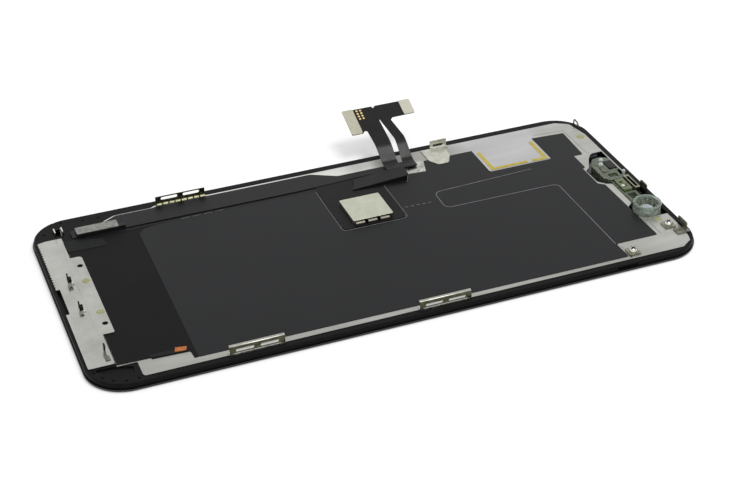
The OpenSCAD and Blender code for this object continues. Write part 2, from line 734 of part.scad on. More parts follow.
module graphite_film() {
    step_x = x_high - 10.6;
    color("#38393b")
        difference() {
            slab(concat([[x_high - 20.9, film_y0, 0.3],
                [x_high - 21.1, plate_y0 + 7.4, 0.8], [x_high - 9.5, plate_y0 + 7.4, 0.3],
                [x_high - 9.95, -1.4, 0.2], [notch_x - 0.3, 0, 0.5],
                [notch_x - 0.3, notch_far - 6.3, 0.3], [step_x, notch_far - 6.2, 0.4],
                [step_x, notch_far + 0.6, 0.3], [x_high - 7.9, notch_far + 0.6, 0.3],
                [x_high - 7.5, plate_y1 - 6.2, 0.4], [bare_x1, plate_y1 - 5.6, 0.3],
                [foil_x1 + 1.4, plate_y1 - 5.6, 0.3], [foil_x1, film_y1 - 2.3, 0.2],
                [foil_x0 - film_gap, film_y1 - 1.8, 0.2], [pocket_x1 + 1.2, film_y1 - 3.3, 0.2],
                [pocket_x1, film_y1 - pocket_deep, 0.3], [window_x1, film_y1 - pocket_deep + 0.3, 0],
                [window_x0, slant_y(window_x0) - rim_w - film_gap, 0],
                [slant_x0, rim_y - film_gap, 3]], reversed(film_side(film_gap))), plate_top, film_t);
            slab(box_corners(window_x0, window_x1, window_y0, window_y1, 1.5), plate_top - 1, film_t + 2);
            pad(bare_x0, bare_x1, bare_y0, plate_y1 + 1, plate_top - 1, film_t + 2, 0.6);
            slab(clip_base_outline(0.08), plate_top - 1, film_t + 2);
        }
}

module lower_film() {
    color("#262628")
        slab(concat([[plate_x0 + 0.05, low_y0 + 0.4, 0.3], [x_low + 15.1, low_y0 + 0.2, 0.2],
            [x_low + 15.3, low_y0 - 0.35, 0.2], [film_x0 - 1.5, low_y0 - 0.75, 0.2],
            [film_x0 - 1.3, film_y0 + 0.85, 0.2]], film_side(0), [[flex_x0 - 0.05, rim_y - film_gap, 0],
            [flex_x0 - 0.05, low_y1 - 0.05, 0], [plate_x0 + 0.05, low_y1 - 0.05, 0]]), plate_top, film_t);
}

tape_t = 0.08;

module black_tape() {
    color("#333436") {
        slab([[bracket_x1 + 0.2, film_y1 - 5.1, 0.2], [x_low + 17.2, film_y1 - 5.4, 0.3],
            [x_low + 16.9, film_y1 - 2, 0.3], [x_low + 9.6, film_y1, 0.3],
            [bracket_x1 + 0.2, film_y1, 0.2]], film_top, tape_t);
        slab([[x_low + 14.9, low_y0 + 1.3, 0.1], [x_low + 15.2, low_y0 + 0.1, 0.1],
            [x_low + 23.2, low_y0 - 0.5, 0.1], [x_low + 23.6, low_y0 + 0.9, 0.1]], film_top, tape_t);
    }
}

module edge_tape() {
    color("#141516")
        slab([[notch_x - 0.1, 0.6, 0.4], [notch_x + 1.1, 0.2, 0.4], [notch_x + 1.1, 6.6, 0.4],
            [notch_x - 0.1, 7.4, 0.4]], glass_t, plate_z - glass_t - 0.3);
}

module kapton_tab() {
    color("#c97c3a")
        slab([[x_low + 20.6, low_y0 + 0.1, 0.2], [x_low + 23.2, low_y0 - 0.2, 0.2],
            [x_low + 23.7, low_y0 + 1.2, 0.2], [x_low + 21.1, low_y0 + 1.7, 0.2]],
            film_top + tape_t, 0.06);
}

module gold_strip() {
    x0 = bare_x0 + 0.8;
    x1 = bare_x1 - 0.7;
    y0 = bare_y0 + 0.75;
    y1 = plate_y1 - 7;
    gap_x = x1 - 5.9;
    color("#c2a94a")
        difference() {
            pad(x0, x1, y0, y1, plate_top, 0.05, 0.3);
            pad(x0 + gold_w, x1 - gold_w, y0 + gold_w, y1 + 1, plate_top - 1, 2);
            pad(gap_x, gap_x + 1.4, y0 - 1, y0 + gold_w + 1, plate_top - 1, 2);
        }
}

module silver_foil() {
    color("#a8a8a3")
        slab([[foil_x0, film_y1 - 1.75, 0.2], [foil_x1 - 0.05, film_y1 - 2.25, 0.2],
            [foil_x1 + 1.3, plate_y1 - 5.7, 0.2], [foil_x1 + 1.3, plate_y1 - 4.6, 0.2],
            [flex_x1 + 0.05, plate_y1 - 4.6, 0], [flex_x1 + 0.05, flex_low + slant - 0.05, 0],
            [foil_x0, flex_low + slant - 0.05, 0]], plate_top, 0.06);
}

module glue_dot(x, y, z, d, h) {
    translate([x, y, z])
        rotate_extrude()
            polygon([[0, 0], [d / 2, 0], [d * 0.42, h * 0.6], [d * 0.25, h], [0, h]]);
}

module glue_spots() {
    tongue_top = film_top + tongue_t;
    color("#b3b06a") {
        glue_dot(bracket_x1 + 1.4, 6.3, tongue_top, 2, 0.18);
        glue_dot(bracket_x1 + 1.6, -7.9, tongue_top, 2, 0.18);
        glue_dot(x_high - 5.6, -notch_near - 1.6, plate_top, 1.8, 0.15);
        glue_dot(x_high - 3.9, plate_y1 - 9.7, plate_top, 2.4, 0.15);
    }
}

module main_flex() {
    top = clip_face(1) - clip_t - foot_w - 0.08;
    color("#2e2f31") {
        slab([[flex_x0, flex_low, 0.3], [slant_x0, flex_low, 3], [slant_x1, flex_low + slant, 0.3],
            [flex_x1, flex_low + slant, 0.3], [flex_x1, plate_y1 - 4.5, 0.3],
            [window_x0 + 7.8, plate_y1 - 4.6, 3],
            [window_x0 + 1.3, top, 3], [x_low + 32.9, top, 0.5], [x_low + 31.8, plate_y1 - 1.4, 0.5],
            [x_low + 22.2, plate_y1 - 1.4, 2], [x_low + 19.2, plate_y1 - 3.1, 1],
            [flex_x0, plate_y1 - 4.6, 0.3]], plate_top, flex_t);
        // Adhesive that shows along the near edge and in the pocket of the large film
        slab([[flex_x0, rim_y, 0.3], [slant_x0, rim_y, 3], [window_x0 + 0.05, slant_y(window_x0) - rim_w, 0],
            [window_x0 + 0.05, flex_low + 0.6, 0], [flex_x0, flex_low + 0.6, 0]], plate_top, film_t);
        slab([[window_x1 - board_gap + 0.02, film_y1 - pocket_deep + 0.35, 0],
            [pocket_x1 - 0.03, film_y1 - pocket_deep + 0.05, 0.3], [pocket_x1 + 1.15, film_y1 - 3.2, 0.2],
            [foil_x0 - 0.05, film_y1 - 1.75, 0.1], [foil_x0 - 0.05, flex_low + 1.6, 0],
            [window_x1 - board_gap + 0.02, flex_low + 1.4, 0]], plate_top, film_t);
    }
}

module stiffener_block() {
    color("#9c9c95")
        slab(box_corners(x_low + 11, x_low + 21.7, flex_low + 0.1, plate_y1 - 4.7, 0.2), flex_top, block_h);
}

module flex_component() {
    color("#1d1d1e")
        pad(x_low + 21.8, x_low + 23.4, flex_low + 0.3, flex_low + 1.6, flex_top, 0.6, 0.1);
}

// Branch to the driver board, folded back on itself: a wedge that opens towards its right end
module folded_flex() {
    fold_x0 = window_x0 + 8.8;
    fold_x1 = tail_x0 + 4.6;
    color("#303133")
        intersection() {
            slab([[fold_x0, film_y1 - 4.5, 0.2], [fold_x1 - 1, film_y1 - 4.3, 0.4],
                [fold_x1, film_y1 - 1.2, 0.5], [fold_x1 - 1.2, film_y1 + 0.8, 0.4],
                [fold_x0 + 2, flex_low - 0.3, 0.3],
                [fold_x0 + 1.2, film_y1 - 2.6, 0.3]], board_top, 3);
            translate([0, film_y1 + 5, 0])
                rotate([90, 0, 0])
                    linear_extrude(20)
                        polygon([[fold_x0 - 1, board_top], [fold_x1 + 1, board_top],
                            [fold_x1 + 1, board_top + fold_h], [fold_x0 - 1, board_top + 0.15]]);
        }
}

module driver_board() {
    color("#232426")
        slab([[window_x0 + board_gap, window_y0 + board_gap, 1.3],
            [window_x1 - board_gap, window_y0 + board_gap, 1.3],
            [window_x1 - board_gap, slant_y(window_x1) - 0.05, 0],
            [window_x0 + board_gap, slant_y(window_x0) - 0.05, 0]], plate_top, board_t);
}

// The shield can stands open towards the near side
shield_x0 = window_x0 + 3.2;
shield_y0 = window_y0 + 1.5;

module shield_can() {
    color("#c3c3b8")
        difference() {
            pad(shield_x0, shield_x0 + shield_w, shield_y0, shield_y0 + shield_w, board_top, shield_h, 0.4);
            pad(shield_x0 + shield_t, shield_x0 + shield_w - shield_t, shield_y0 + shield_t,
                shield_y0 + shield_w - shield_t, board_top - 1, shield_h + 1 - shield_t, 0.3);
            pad(shield_x0 + 0.5, shield_x0 + shield_w - 0.9, shield_y0 - 1, shield_y0 + 1,
                board_top - 1, shield_h + 0.7);
        }
}

module driver_chip() {
    color("#1a1a1c")
        pad(shield_x0 + 1.4, shield_x0 + shield_w - 1.4, shield_y0 + 2.6, shield_y0 + shield_w - 1.4,
            board_top, 0.6, 0.1);
}

module shield_capacitors() {
    pitch = (shield_w - 1.7 - cap_l) / 2;
    color("#ddd8c8")
        for (i = [0:2])
            pad(shield_x0 + 0.65 + i * pitch, shield_x0 + 0.65 + i * pitch + cap_l, shield_y0 - 0.15,
                shield_y0 + 0.85, board_top, 0.38, 0.1);
}

// Middle line of the tail: [y, z, slope]
tail_y0 = film_y1 + 0.9;
bend_y = plate_y1 - 5.3;
lift_end = [bend_y + lift_r * sin(lift_angle), tail_z + tail_t / 2 + lift_r * (1 - cos(lift_angle))];
climb_end = lift_end + lift_len * [cos(lift_angle), sin(lift_angle)];
head_start = climb_end + crest_r * [sin(lift_angle) - sin(head_angle), cos(head_angle) - cos(lift_angle)];
head_end = head_start + head_len * [cos(head_angle), sin(head_angle)];
tail_line = concat(
    [[tail_y0, tail_z + tail_t / 2, 0]],
    [for (i = [0:arc_steps]) let (a = lift_angle * i / arc_steps)
        [bend_y + lift_r * sin(a), tail_z + tail_t / 2 + lift_r * (1 - cos(a)), a]],
    [for (i = [0:arc_steps]) let (a = lift_angle + (head_angle - lift_angle) * i / arc_steps)
        [climb_end[0] + crest_r * (sin(lift_angle) - sin(a)),
        climb_end[1] + crest_r * (cos(a) - cos(lift_angle)), a]],
    [[head_end[0], head_end[1], head_angle]]
);
function tail_side(s) = [for (p = tail_line) [p[0] - s * sin(p[2]), p[1] + s * cos(p[2])]];
function reversed(v) = [for (i = [len(v) - 1:-1:0]) v[i]];

// Ends of the head along X, and places along the head measured down from its free end
head_a_x0 = tail_x0 - 5.2;
head_b_x1 = tail_x1 + 6;
function head_y(back) = head_end[0] - back * cos(head_angle);

module tail_sheet() {
    translate([head_a_x0 - 1, 0, 0])
        rotate([90, 0, 90])
            linear_extrude(head_b_x1 - head_a_x0 + 2)
                polygon(concat(tail_side(-tail_t / 2), reversed(tail_side(tail_t / 2))));
}

module tail_plan() {
    foot_a = head_y(back_a_l);
    foot_b = head_y(back_b_l);
    slab([[tail_x0, tail_y0 - 1, 0], [tail_x1, tail_y0 - 1, 0], [tail_x1 + 0.1, bend_y + 1, 0.3],
        [tail_x1, bend_y + 7, 1.5], [tail_x1 - 1.4, foot_b - 0.7, 0.5], [tail_x1 - 0.6, foot_b, 0.4],
        [head_b_x1 - 0.1, foot_b + 0.1, 0.2], [head_b_x1 - 0.1, head_end[0] + 1, 0],
        [head_a_x0 + 0.1, head_end[0] + 1, 0],
        [head_a_x0 + 0.1, foot_a + 0.1, 0.3], [tail_x0 - 1.9, foot_a + 0.1, 0.4],
        [tail_x0 - 1.3, foot_a + 0.8, 0.4], [tail_x0 - 0.6, foot_a + 0.6, 0.4],
        [tail_x0 - 0.3, foot_a - 3.6, 1.5],
        [tail_x0, bend_y + 1, 1]], 0, head_end[1] + 5);
}

// Long slit between the two branches and the nick at the free end
module tail_slit() {
    tip = head_y(5);
    x = tail_x0 + 4.2;
    slab([[x, bend_y + 0.3, 0.2], [x + 1.3, bend_y + 0.3, 0.2], [x + 1.5, head_start[0] + 0.2, 1.5],
        [x - 0.05, tip, 0.06], [x - 0.25, tip, 0.06], [x, head_start[0], 1.5]], 0, head_end[1] + 5);
    slab([[x - 0.9, head_end[0] + 1, 0], [x - 0.8, head_end[0], 0], [x - 0.4, head_end[0] - 0.7, 0.1],
        [x + 0.3, head_end[0], 0], [x + 0.4, head_end[0] + 1, 0]], 0, head_end[1] + 5);
}

module flex_tail() {
    color("#2a2a2b")
        difference() {
            intersection() {
                tail_sheet();
                tail_plan();
            }
            tail_slit();
        }
}

// Frame of the head: local Y runs down from the free end, local Z out of the sheet
module on_head() {
    translate([0, head_end[0], head_end[1]])
        rotate([head_angle, 0, 0])
            children();
}

module connector_back(x0, l) {
    color("#ccc9bb")
        on_head()
            pad(x0, x0 + back_w, -l, 0, tail_t / 2, back_t, 0.45);
}

module connector_back_a() {
    connector_back(head_a_x0, back_a_l);
}

module connector_back_b() {
    connector_back(head_b_x1 - back_w, back_b_l);
}

// Plug with a raised rim, a hollow middle and two rows of contacts
module connector_plug(x0, l) {
    plug_w = back_w - 0.9;
    plug_l = l - 1.4;
    pins = floor((plug_l - 1.2) / pin_pitch);
    on_head()
        translate([x0 + back_w / 2, -l / 2, -tail_t / 2 - plug_h]) {
            color("#6f665a")
                difference() {
                    pad(-plug_w / 2, plug_w / 2, -plug_l / 2, plug_l / 2, 0, plug_h, 0.2);
                    pad(-plug_w / 2 + 0.4, plug_w / 2 - 0.4, -plug_l / 2 + 0.4, plug_l / 2 - 0.4, -1,
                        plug_h + 0.6, 0.1);
                }
            color("#c9a95a")
                for (i = [0:pins - 1], side = [-1, 1])
                    translate([side * (plug_w / 2 - 0.45), (i - (pins - 1) / 2) * pin_pitch, 0.2])
                        translate([-0.1, -0.08, 0])
                            cube([0.2, 0.16, plug_h - 0.3]);
        }
}

module connector_plug_a() {
    connector_plug(head_a_x0, back_a_l);
}

module connector_plug_b() {
    connector_plug(head_b_x1 - back_w, back_b_l);
}

module test_pads() {
    color("#d4b45c")
        on_head()
            for (i = [0:1], j = [0:3])
                pin(head_a_x0 + back_w + 1 + i * 1.05, -0.75 - j * 0.95, tail_t / 2, pad_d, 0.04);
}

module tail_stiffener() {
    color("#1f1f21")
        pad(tail_x0, tail_x1, tail_y0, bend_y, flex_top, stiff_t, 0.2);
}

module far_clip_1() {
    color("#6f6d58")
        side_clip(far_clip_x, long_clip_l, 1, 0, 2, long_slot_l, plate_top + 1.15);
}

module near_clip_1() {
    color("#8a8876")
        side_clip(near_clip_1_x, long_clip_l, -1, flange_w, 2, long_slot_l, plate_top + 0.65);
}

module near_clip_2() {
    color("#8a8876")
        side_clip(near_clip_2_x, long_clip_l, -1, flange_w, 2, long_slot_l, plate_top + 0.65);
}

// Soldered base of the short clip, grown by a clearance
function clip_base_outline(c) = [
    [short_clip_x - 3 - c, plate_y1 - 0.4, 0], [short_clip_x - 2.9 - c, plate_y1 - 6.4, 1.5],
    [short_clip_x - 1.2 - c, plate_y1 - 9 - c, 1.2], [short_clip_x + 1.7 + c, plate_y1 - 9 - c, 1.2],
    [short_clip_x + 3.6 + c, plate_y1 - 5.2, 1.5], [short_clip_x + 3.8 + c, plate_y1 - 0.4, 0]
];

module far_clip_2() {
    color("#a4a39b") {
        side_clip(short_clip_x, short_clip_l, 1, 0, 1, short_clip_l - 1.7, plate_top + clip_t);
        slab(clip_base_outline(0), plate_top, clip_t);
    }
}

module contact_bumps() {
    foot_y = clip_face(1) - clip_t - foot_w / 2 - 0.05;
    pitch = long_clip_l / bump_count;
    color("#c9b36a")
        for (i = [0:bump_count - 1])
            translate([far_clip_x + (i + 0.5) * pitch, foot_y, plate_top + clip_t])
                intersection() {
                    translate([-0.62, 0, 0])
                        rotate([0, 90, 0])
                            cylinder(d = 0.94, h = 1.24, $fn = 24);
                    translate([-1, -1, 0])
                        cube([2, 2, 1]);
                }
}

// Moulded clear holder on the back of the glass, with a ring round each sensor
module ring_wall_shape(y, d, h) {
    translate([holder_x, y, glass_t])
        rotate_extrude()
            polygon([[d / 2 - ring_wall, floor_t / 2], [d / 2 - ring_wall, h - 0.4],
                [d / 2 - ring_wall + 0.15, h], [d / 2, h], [d / 2 + 0.1, h - 0.3],
                [d / 2 - 0.05, h - 0.55], [d / 2 + 0.15, 0], [d / 2 - ring_wall, 0]]);
}

// Places in the housing at the far end of the holder
housing_top = glass_t + housing_h;
lens_d = 1.5;
small_lenses = [[holder_x + 0.6, ring_a_y + 3.1], [holder_x - 0.5, ring_a_y + 1]];
sensor_x0 = holder_x + 0.5;
sensor_x1 = holder_x + 2.7;
sensor_y0 = ring_a_y - 2.1;
sensor_y1 = ring_a_y + 1.8;

module sensor_housing() {
    slab([[holder_x - 3.3, ring_a_y - 5.9, 1.2], [holder_x - 1.9, ring_a_y - 7.4, 0.8],
        [holder_x + 1.9, ring_a_y - 7.4, 0.3], [holder_x + 1.9, ring_a_y - 3.3, 0.3],
        [holder_x + 3, ring_a_y - 2.5, 0.4], [holder_x + 3, ring_a_y + 3.5, 0.6],
        [holder_x + 1.2, ring_a_y + 4.6, 1.4], [holder_x - 1.6, ring_a_y + 4.3, 1.4],
        [holder_x - 3.3, ring_a_y + 1, 1.2]], glass_t, housing_h);
}

module sensor_holder() {
    rail_x0 = holder_x - 1.9;
    rib_w = 0.26;
    color("#a9b79a")
        difference() {
            union() {
                slab([[holder_x - 3.3, ring_b_y - 2, 2], [holder_x + 3.3, ring_b_y - 2, 2],
                    [holder_x + 2.1, ring_b_y + 4, 1], [holder_x + 2.1, ring_a_y - 5, 1],
                    [holder_x - 2.1, ring_a_y - 5, 1], [holder_x - 2.1, ring_b_y + 4.5, 1]], glass_t,
                    floor_t);
                ring_wall_shape(ring_b_y, ring_d, ring_h);
                for (turn = [0:30:330])
                    translate([holder_x, ring_b_y, glass_t])
                        rotate([0, 0, turn])
                            pad(ring_d / 2 - ring_wall - 0.45, ring_d / 2 - ring_wall + 0.1, -rib_w / 2,
                                rib_w / 2, 0, ring_h - 0.9);
                pad(rail_x0, rail_x0 + 0.3, ring_b_y + 3.2, ring_a_y - 6.5, glass_t, 1.7);
                sensor_housing();
            }
            pin(holder_x, ring_b_y, glass_t - 1, 3.6, 3);
            // Seats of the proximity sensor and of the two small lenses beside it
            pad(sensor_x0 - 0.1, sensor_x1 + 0.1, sensor_y0 - 0.1, sensor_y1 + 0.1, glass_t + floor_t,
                4, 0.2);
            for (p = small_lenses)
                pin(p[0], p[1], glass_t + floor_t, lens_d + 0.1, 4);
            // Sunk lines that part the housing's top
            pad(holder_x - 2.5, holder_x - 0.3, ring_a_y - 3.4, ring_a_y - 3.1, housing_top - 0.3, 1);
            pad(holder_x - 1.9, holder_x - 1.65, ring_a_y - 3.1, ring_a_y + 0.6, housing_top - 0.3, 1);
            pad(holder_x - 1.4, holder_x + 1.2, ring_a_y - 6.2, ring_a_y - 4.3, housing_top - 0.5, 1, 0.3);
        }
}

module proximity_sensor() {
    color("#202226")
        pad(sensor_x0, sensor_x1, sensor_y0, sensor_y1, glass_t + floor_t, housing_h - floor_t + 0.25, 0.2);
}

// Pin with a domed top
module stud(x, y, z, d, h) {
    pin(x, y, z, d, h);
    translate([x, y, z + h])
        sphere(d = d);
}

module light_pipe() {
    color("#dfe6d8") {
        stud(ear_x + 0.45, ear_y + 5.2, glass_t, 0.95, 1.9);
        for (p = small_lenses)
            stud(p[0], p[1], glass_t + floor_t, lens_d, housing_h - floor_t - 0.25);
    }
}

module microphone() {
    y0 = ring_b_y + 9.8;
    color("#7d8371")
        difference() {
            pad(holder_x - 1.3, holder_x + 1.3, y0, y0 + 5.6, glass_t + floor_t, 1.6, 0.4);
            pin(holder_x - 0.2, y0 + 3.9, glass_t + floor_t + 0.6, 1, 3);
            pin(holder_x - 0.2, y0 + 1.9, glass_t + floor_t + 1.3, 1.4, 3);
        }
    color("#d8d8cc")
        pin(holder_x - 0.2, y0 + 1.9, glass_t + floor_t + 1.2, 0.8, 0.35);
}

module sensor_gasket() {
    y0 = ring_b_y + 5;
    color("#8c9485")
        difference() {
            pad(holder_x - 1.6, holder_x + 1.9, y0, y0 + 4.3, glass_t + floor_t, 1.1, 0.3);
            pad(holder_x - 1, holder_x + 1.2, y0 + 0.7, y0 + 3.6, glass_t + floor_t - 1, 3, 0.2);
        }
}

module earpiece_frame() {
    mesh_top = glass_t + 0.3;
    color("#a7a79f")
        difference() {
            pad(ear_x - 0.72, ear_x + 0.78, ear_y - 3.5, ear_y + 3.5, mesh_top,
                plate_top + 0.3 - mesh_top, 0.3);
            pad(ear_x - 0.4, ear_x + 0.45, ear_y - 2.8, ear_y + 2.6, mesh_top - 1, 4, 0.3);
        }
}

module earpiece_mesh() {
    color("#151515")
        pad(ear_x - 0.72, ear_x + 0.78, ear_y - 4.8, ear_y + 4.7, glass_t, 0.3, 0.4);
}

screw_spots = [[x_high - 4.75, -notch_near - 5.1], [x_high - 19, plate_y0 + 2.6]];
nut_side = 3;

module nut_plates() {
    color("#9a9a93")
        difference() {
            for (s = screw_spots)
                pad(s[0] - nut_side / 2, s[0] + nut_side / 2, s[1] - nut_side / 2, s[1] + nut_side / 2,
                    plate_top, nut_t, 0.2);
            for (s = screw_spots)
                pin(s[0], s[1], plate_top - 1, shank_d + 2 * shank_gap, nut_t + 2);
        }
}

// Pan head screws with a cross recess
module corner_screws() {
    seat = plate_top + nut_t;
    recess_w = 0.42;
    color("#d2d2cc")
        for (s = screw_spots)
            translate([s[0], s[1], 0])
                difference() {
                    union() {
                        translate([0, 0, plate_z + 0.02])
                            cylinder(d = shank_d, h = seat - plate_z - 0.02);
                        translate([0, 0, seat])
                            rotate_extrude()
                                polygon([[0, 0], [head_d / 2, 0], [head_d / 2, head_h * 0.35],
                                    [head_d / 2 - 0.15, head_h * 0.7], [head_d / 2 - 0.45, head_h],
                                    [0, head_h]]);
                    }
                    for (turn = [20, 110])
                        rotate([0, 0, turn])
                            translate([-head_d * 0.36, -recess_w / 2, seat + head_h * 0.45])
                                cube([head_d * 0.72, recess_w, head_h]);
                }
}

cover_glass();
optical_adhesive();
front_polariser();
lcd_cell();
rear_polariser();
backlight_films();
light_guide();
led_strip();
bezel_frame();
backplate();
lower_bracket();
screw_lug_1();
screw_lug_2();
lower_hook();
corner_spring();
graphite_film();
lower_film();
black_tape();
edge_tape();
kapton_tab();
gold_strip();
silver_foil();
glue_spots();
main_flex();
stiffener_block();
flex_component();
folded_flex();
driver_board();
driver_chip();
shield_can();
shield_capacitors();
tail_stiffener();
flex_tail();
test_pads();
connector_back_a();
connector_back_b();
connector_plug_a();
connector_plug_b();
far_clip_1();
contact_bumps();
far_clip_2();
near_clip_1();
near_clip_2();
end_hook_a();
end_hook_b();
end_hook_c();
sensor_holder();
proximity_sensor();
light_pipe();
microphone();
sensor_gasket();
earpiece_frame();
earpiece_mesh();
nut_plates();
corner_screws();
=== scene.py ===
import bpy
import bmesh
import math
from mathutils import Matrix, Vector


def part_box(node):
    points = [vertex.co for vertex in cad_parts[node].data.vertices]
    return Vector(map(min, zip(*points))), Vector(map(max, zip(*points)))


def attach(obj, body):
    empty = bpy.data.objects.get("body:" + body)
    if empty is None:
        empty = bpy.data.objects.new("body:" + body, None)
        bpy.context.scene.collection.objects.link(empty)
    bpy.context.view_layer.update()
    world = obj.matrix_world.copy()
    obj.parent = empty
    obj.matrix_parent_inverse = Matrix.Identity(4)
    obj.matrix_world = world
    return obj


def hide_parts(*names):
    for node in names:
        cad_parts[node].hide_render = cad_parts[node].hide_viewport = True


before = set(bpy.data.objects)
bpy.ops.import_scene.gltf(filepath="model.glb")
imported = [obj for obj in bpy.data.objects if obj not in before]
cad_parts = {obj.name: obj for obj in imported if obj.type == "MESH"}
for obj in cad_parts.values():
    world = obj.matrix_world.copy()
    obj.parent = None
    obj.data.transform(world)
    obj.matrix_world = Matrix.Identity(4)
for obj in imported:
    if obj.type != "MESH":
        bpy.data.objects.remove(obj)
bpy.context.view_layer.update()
print("frame:", len(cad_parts), "nodes")

mm = 0.001
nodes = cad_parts
glassLow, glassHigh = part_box("cover_glass")
plateLow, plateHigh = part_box("backplate")


def linearValue(c):
    return c / 12.92 if c <= 0.04045 else ((c + 0.055) / 1.055) ** 2.4


def colour(text):
    return tuple(linearValue(int(text[i:i + 2], 16) / 255) for i in (1, 3, 5)) + (1.0,)


# one node with its settings and its links, a socket as a value is linked
def addNode(tree, kind, settings=None, inputs=None):
    node = tree.nodes.new("ShaderNode" + kind)
    for name, value in (settings or {}).items():
        setattr(node, name, value)
    for name, value in (inputs or {}).items():
        if isinstance(value, bpy.types.NodeSocket):
            tree.links.new(value, node.inputs[name])
        else:
            node.inputs[name].default_value = value
    return node


def openMaterial(name):
    material = bpy.data.materials.new(name)
    material.use_nodes = True
    tree = material.node_tree
    tree.nodes.clear()
    return material, tree


def closeMaterial(tree, shader):
    addNode(tree, "OutputMaterial", None, {"Surface": shader})


# a mask from 0 to 1 between two places along an axis, or between two distances from an upright line
def zoneMask(tree, place, masks):
    split = addNode(tree, "SeparateXYZ", None, {"Vector": place}).outputs
    whole = None
    for axis, start, end in masks:
        if isinstance(axis, tuple):
            flat = addNode(tree, "CombineXYZ", None, {"X": split["X"], "Y": split["Y"]}).outputs[0]
            middle = (axis[0] * mm, axis[1] * mm, 0)
            reach = addNode(tree, "VectorMath", {"operation": "DISTANCE"}, {0: flat, 1: middle}).outputs["Value"]
        else:
            reach = split[axis]
        step = addNode(tree, "MapRange", None, {
            "Value": reach, "From Min": start * mm, "From Max": end * mm}).outputs["Result"]
        if whole is not None:
            step = addNode(tree, "Math", {"operation": "MULTIPLY"}, {0: whole, 1: step}).outputs[0]
        whole = step
    return whole


# a surface whose colour drifts between two tones, with its own roughness spread and fine relief
# grain sizes are in millimetres, stretch draws the grain out along an axis as rolling or brushing does
# a zone lays another tone over part of the piece, where its masks meet
def surface(name, spec):
    material, tree = openMaterial(name)
    place = addNode(tree, "TexCoord").outputs["Object"]
    stretched = addNode(tree, "Mapping", {"vector_type": "TEXTURE"},
                        {"Vector": place, "Scale": spec.get("stretch", (1, 1, 1))}).outputs["Vector"]
    drift = addNode(tree, "TexNoise", None, {
        "Vector": stretched, "Scale": 1 / (spec["grain"] * mm), "Detail": 4.0, "Roughness": 0.6}).outputs["Fac"]
    spread = addNode(tree, "MapRange", None, {
        "Value": drift, "From Min": 0.3, "From Max": 0.7}).outputs["Result"]
    tone = addNode(tree, "Mix", {"data_type": "RGBA"}, {
        0: spread, 6: colour(spec["dark"]), 7: colour(spec["light"])}).outputs[2]
    for zone in spec.get("zones", []):
        mask = zoneMask(tree, place, zone["masks"])
        patch = addNode(tree, "Mix", {"data_type": "RGBA"}, {
            0: spread, 6: colour(zone["dark"]), 7: colour(zone["light"])}).outputs[2]
        tone = addNode(tree, "Mix", {"data_type": "RGBA"}, {0: mask, 6: tone, 7: patch}).outputs[2]
    rough = addNode(tree, "MapRange", None, {
        "Value": drift, "From Min": 0.3, "From Max": 0.7,
        "To Min": spec["rough"][0], "To Max": spec["rough"][1]}).outputs["Result"]
    fine = addNode(tree, "TexNoise", None, {
        "Vector": stretched, "Scale": 1 / (spec["reliefGrain"] * mm), "Detail": 3.0}).outputs["Fac"]
    relief = addNode(tree, "Bump", None, {
        "Strength": spec.get("reliefStrength", 0.4), "Distance": spec["relief"] * mm,
        "Height": fine}).outputs["Normal"]
    values = {"Base Color": tone, "Roughness": rough, "Normal": relief}
    values.update(spec.get("shader", {}))
    shader = addNode(tree, "BsdfPrincipled", None, values).outputs["BSDF"]
    closeMaterial(tree, shader)
    return material


# chemically strengthened glass with a black ink border printed on its inner face
# front view: an ink border, a slightly lighter screen, and clear spots for camera and sensor
glassPrint = {"border": 4.1, "corner": 7.0, "notchFar": 15.0, "notchNear": -20.5, "notchDeep": 5.2,
              "ink": "#060607", "screen": "#252a33", "roughness": 0.06}


